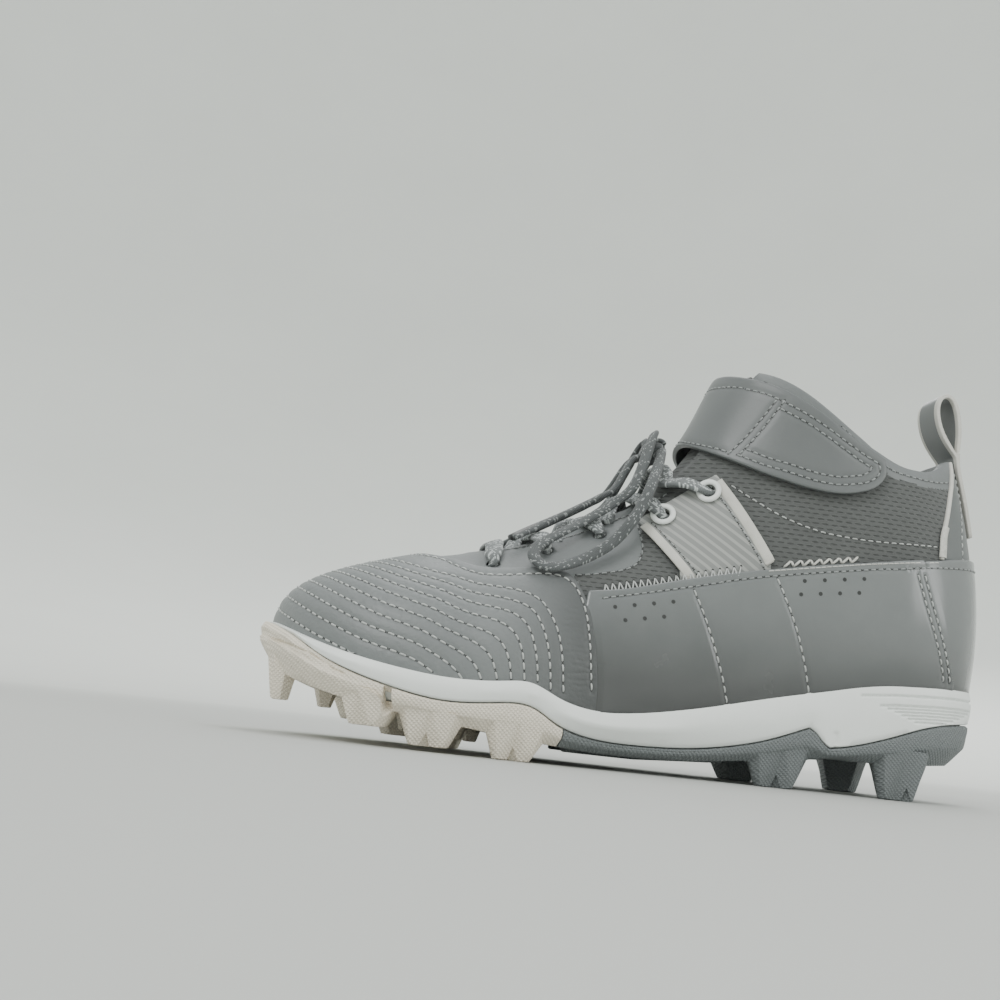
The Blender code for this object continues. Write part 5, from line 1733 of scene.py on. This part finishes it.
def strap_border(inset):
    """Angles and heights of a line inside the strap's edge, round its free end."""
    angles, low, high = (np.array(column) for column in zip(*STRAP))
    sweep = np.arange(STRAP_FRONT, angles[0] - 0.1, -2.0)
    lower, higher = (
        np.column_stack([np.radians(sweep) * STRAP_ROUND, np.interp(sweep, angles, edge)])
        for edge in (low, high)
    )
    outline = calm(even(np.vstack([lower, higher[::-1]]), 1.0), 6)
    ahead = unit(np.gradient(outline, axis=0))
    moved = outline + np.column_stack([ahead[:, 1], -ahead[:, 0]]) * inset
    return [(math.degrees(s / STRAP_ROUND), z) for s, z in moved]


def cross_angle(z):
    """Where the strap's cross seam is at a height."""
    (low, low_z), (high, high_z) = STRAP_CROSS
    return low + (high - low) * (z - low_z) / (high_z - low_z)


def make_strap():
    piece = dressed("ankle_strap", "ankle_strap_band", STRAP_LEATHER, 3)
    skin = Skin(piece)
    borders = [
        strap_border(STRAP_ROW),
        [(a, z) for a, z in strap_border(STRAP_SECOND_ROW) if a < cross_angle(z) - 2.0],
    ]
    angles, low, high = zip(*STRAP)
    for edge, inset in ((low, STRAP_ROW), (high, -STRAP_ROW)):
        borders.append(
            [(a, np.interp(a, angles, edge) + inset) for a in np.arange(-34.0, 101.0, 2.0)]
        )
    heights = np.linspace(STRAP_CROSS[0][1], STRAP_CROSS[1][1], 30)
    for shift in (-STRAP_CROSS_HALF, STRAP_CROSS_HALF):
        borders.append([(cross_angle(z) + shift, z) for z in heights])
    for angle in STRAP_END_ROWS:
        borders.append([(angle, z) for z in np.arange(104.5, 119.0, 0.6)])
    lines = [strap_line(skin, knots) for knots in borders]
    press(piece, lines, *SEAM_TROUGH)
    sew_on(Skin(piece), "strap_stitching", SLOTS["ankle_strap"], lines, GRAY_THREAD,
           pitch=2.7, length=2.0, thick=0.6)


def make_tab():
    piece = dressed("pull_tab", "pull_tab_loop", STRAP_LEATHER, 3)
    piece.data.materials.append(CREAM_WEBBING)
    for face in piece.data.polygons:
        face.material_index = 1 if abs(face.center.y) > TAB_EDGE * MM else 0


def stay_rows(side):
    """Rows of hits on the heel, from the stay's front edge to the middle of the heel."""
    rows = []
    for z in STAY_HEIGHTS:
        first = WALL.side(read(z, HEEL_STAY_FRONT), z, side)[0]
        start = math.atan2(first[0] - HEEL_AXIS_X, abs(first[1]))
        row = []
        for share in np.linspace(0, 1, STAY_COLUMNS):
            turn = start + (math.pi / 2 + STAY_OVERLAP - start) * share
            way = np.array([math.sin(turn), side * math.cos(turn), 0.0])
            row.append(WALL.inward(HEEL_AXIS_X, z, way))
        rows.append(row)
    return rows


def make_heel_stay():
    """The panel either side of the tab's tail, with its cream edge and bar tack."""
    edges, legs, seams, panels = [], [], [], []
    for side, _ in SIDES:
        rows = stay_rows(side)
        tops = np.array([[hit[0] + hit[1] * STAY_LIFT for hit in row] for row in rows])
        foots = np.array([[hit[0] - hit[1] * STAY_SINK for hit in row] for row in rows])
        panels.append(sheet_piece(tops, foots, STRAP_LEATHER, side))
        front, normals = parted(row[0] for row in rows)
        edges.append(ribbon(front, normals, 1.7, 0.95, CREAM_WEBBING))
        seam, seam_normals = parted(row[STAY_SEAM_COLUMN] for row in rows)
        seam = seam + seam_normals * 0.5
        line, way = even(seam, 0.5), travel(seam)
        seams.append((line, at(np.linspace(0, way[-1], len(line)), way, seam_normals)))
        for i in np.linspace(1, 12, 22):
            spot, normal = (at(i, range(len(front)), values) for values in (front, normals))
            normal = unit(normal)
            across = unit(np.cross(normal, (0, 0, 1))) * TACK_HALF
            spot = spot + normal * TACK_LIFT
            legs.append((spot - across, spot + across, normal))
    settle_in(join(panels), "heel_stay", "gray_leather")
    settle_in(join(edges), "heel_stay_edging", "gray_leather")
    sew("heel_stay_stitching", "gray_leather", seams, LIGHT_THREAD, *FINE_STITCH)
    settle_in(thread_legs(legs, 0.62, CREAM_THREAD), "heel_stay_bar_tack", "gray_leather")


def sheet_piece(tops, foots, finish, side):
    """A thin closed panel between two grids of points."""
    rows, columns = tops.shape[:2]
    count = rows * columns
    points = np.vstack([tops.reshape(-1, 3), foots.reshape(-1, 3)])
    faces = []
    for i in range(rows - 1):
        for k in range(columns - 1):
            a, b = i * columns + k, (i + 1) * columns + k
            faces.append((a, a + 1, b + 1, b))
            faces.append((count + a, count + b, count + b + 1, count + a + 1))
    rim = [k for k in range(columns)]
    rim += [i * columns + columns - 1 for i in range(1, rows)]
    rim += [(rows - 1) * columns + k for k in range(columns - 2, -1, -1)]
    rim += [i * columns for i in range(rows - 2, 0, -1)]
    for a, b in zip(rim, rim[1:] + rim[:1]):
        faces.append((b, a, count + a, count + b))
    if side == INNER:
        faces = [face[::-1] for face in faces]
    uv = np.column_stack([points[:, 0] - points[:, 1], points[:, 2]])
    return mesh_piece(points, faces, finish, uv)


set_stage()
upper = make_upper()
tongue = make_tongue()
WALL = Skin(upper)
INSTEP = Skin(upper, tongue)
make_lacing()
make_bow()
make_vamp()
covers = make_side_covers()
panels = make_side_panels()
zigzags(Skin(*covers, *panels, upper))
make_upper_seams()
make_strap()
make_tab()
make_heel_stay()
make_midsole()
dressed("insole", "insole_bed", INSOLE_CLOTH, 2)
plate("outsole_forefoot", "forefoot_plate", PLATE_OFF_WHITE, FOREFOOT_STUDS, FOREFOOT_SLOTS)
plate("outsole_rear", "rear_plate", PLATE_GRAY, REAR_STUDS)
make_rings()

boxes = {"cad": CAD_BOX, "visual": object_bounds()}
{key: [[float(v) for v in corner] for corner in box] for key, box in boxes.items()}
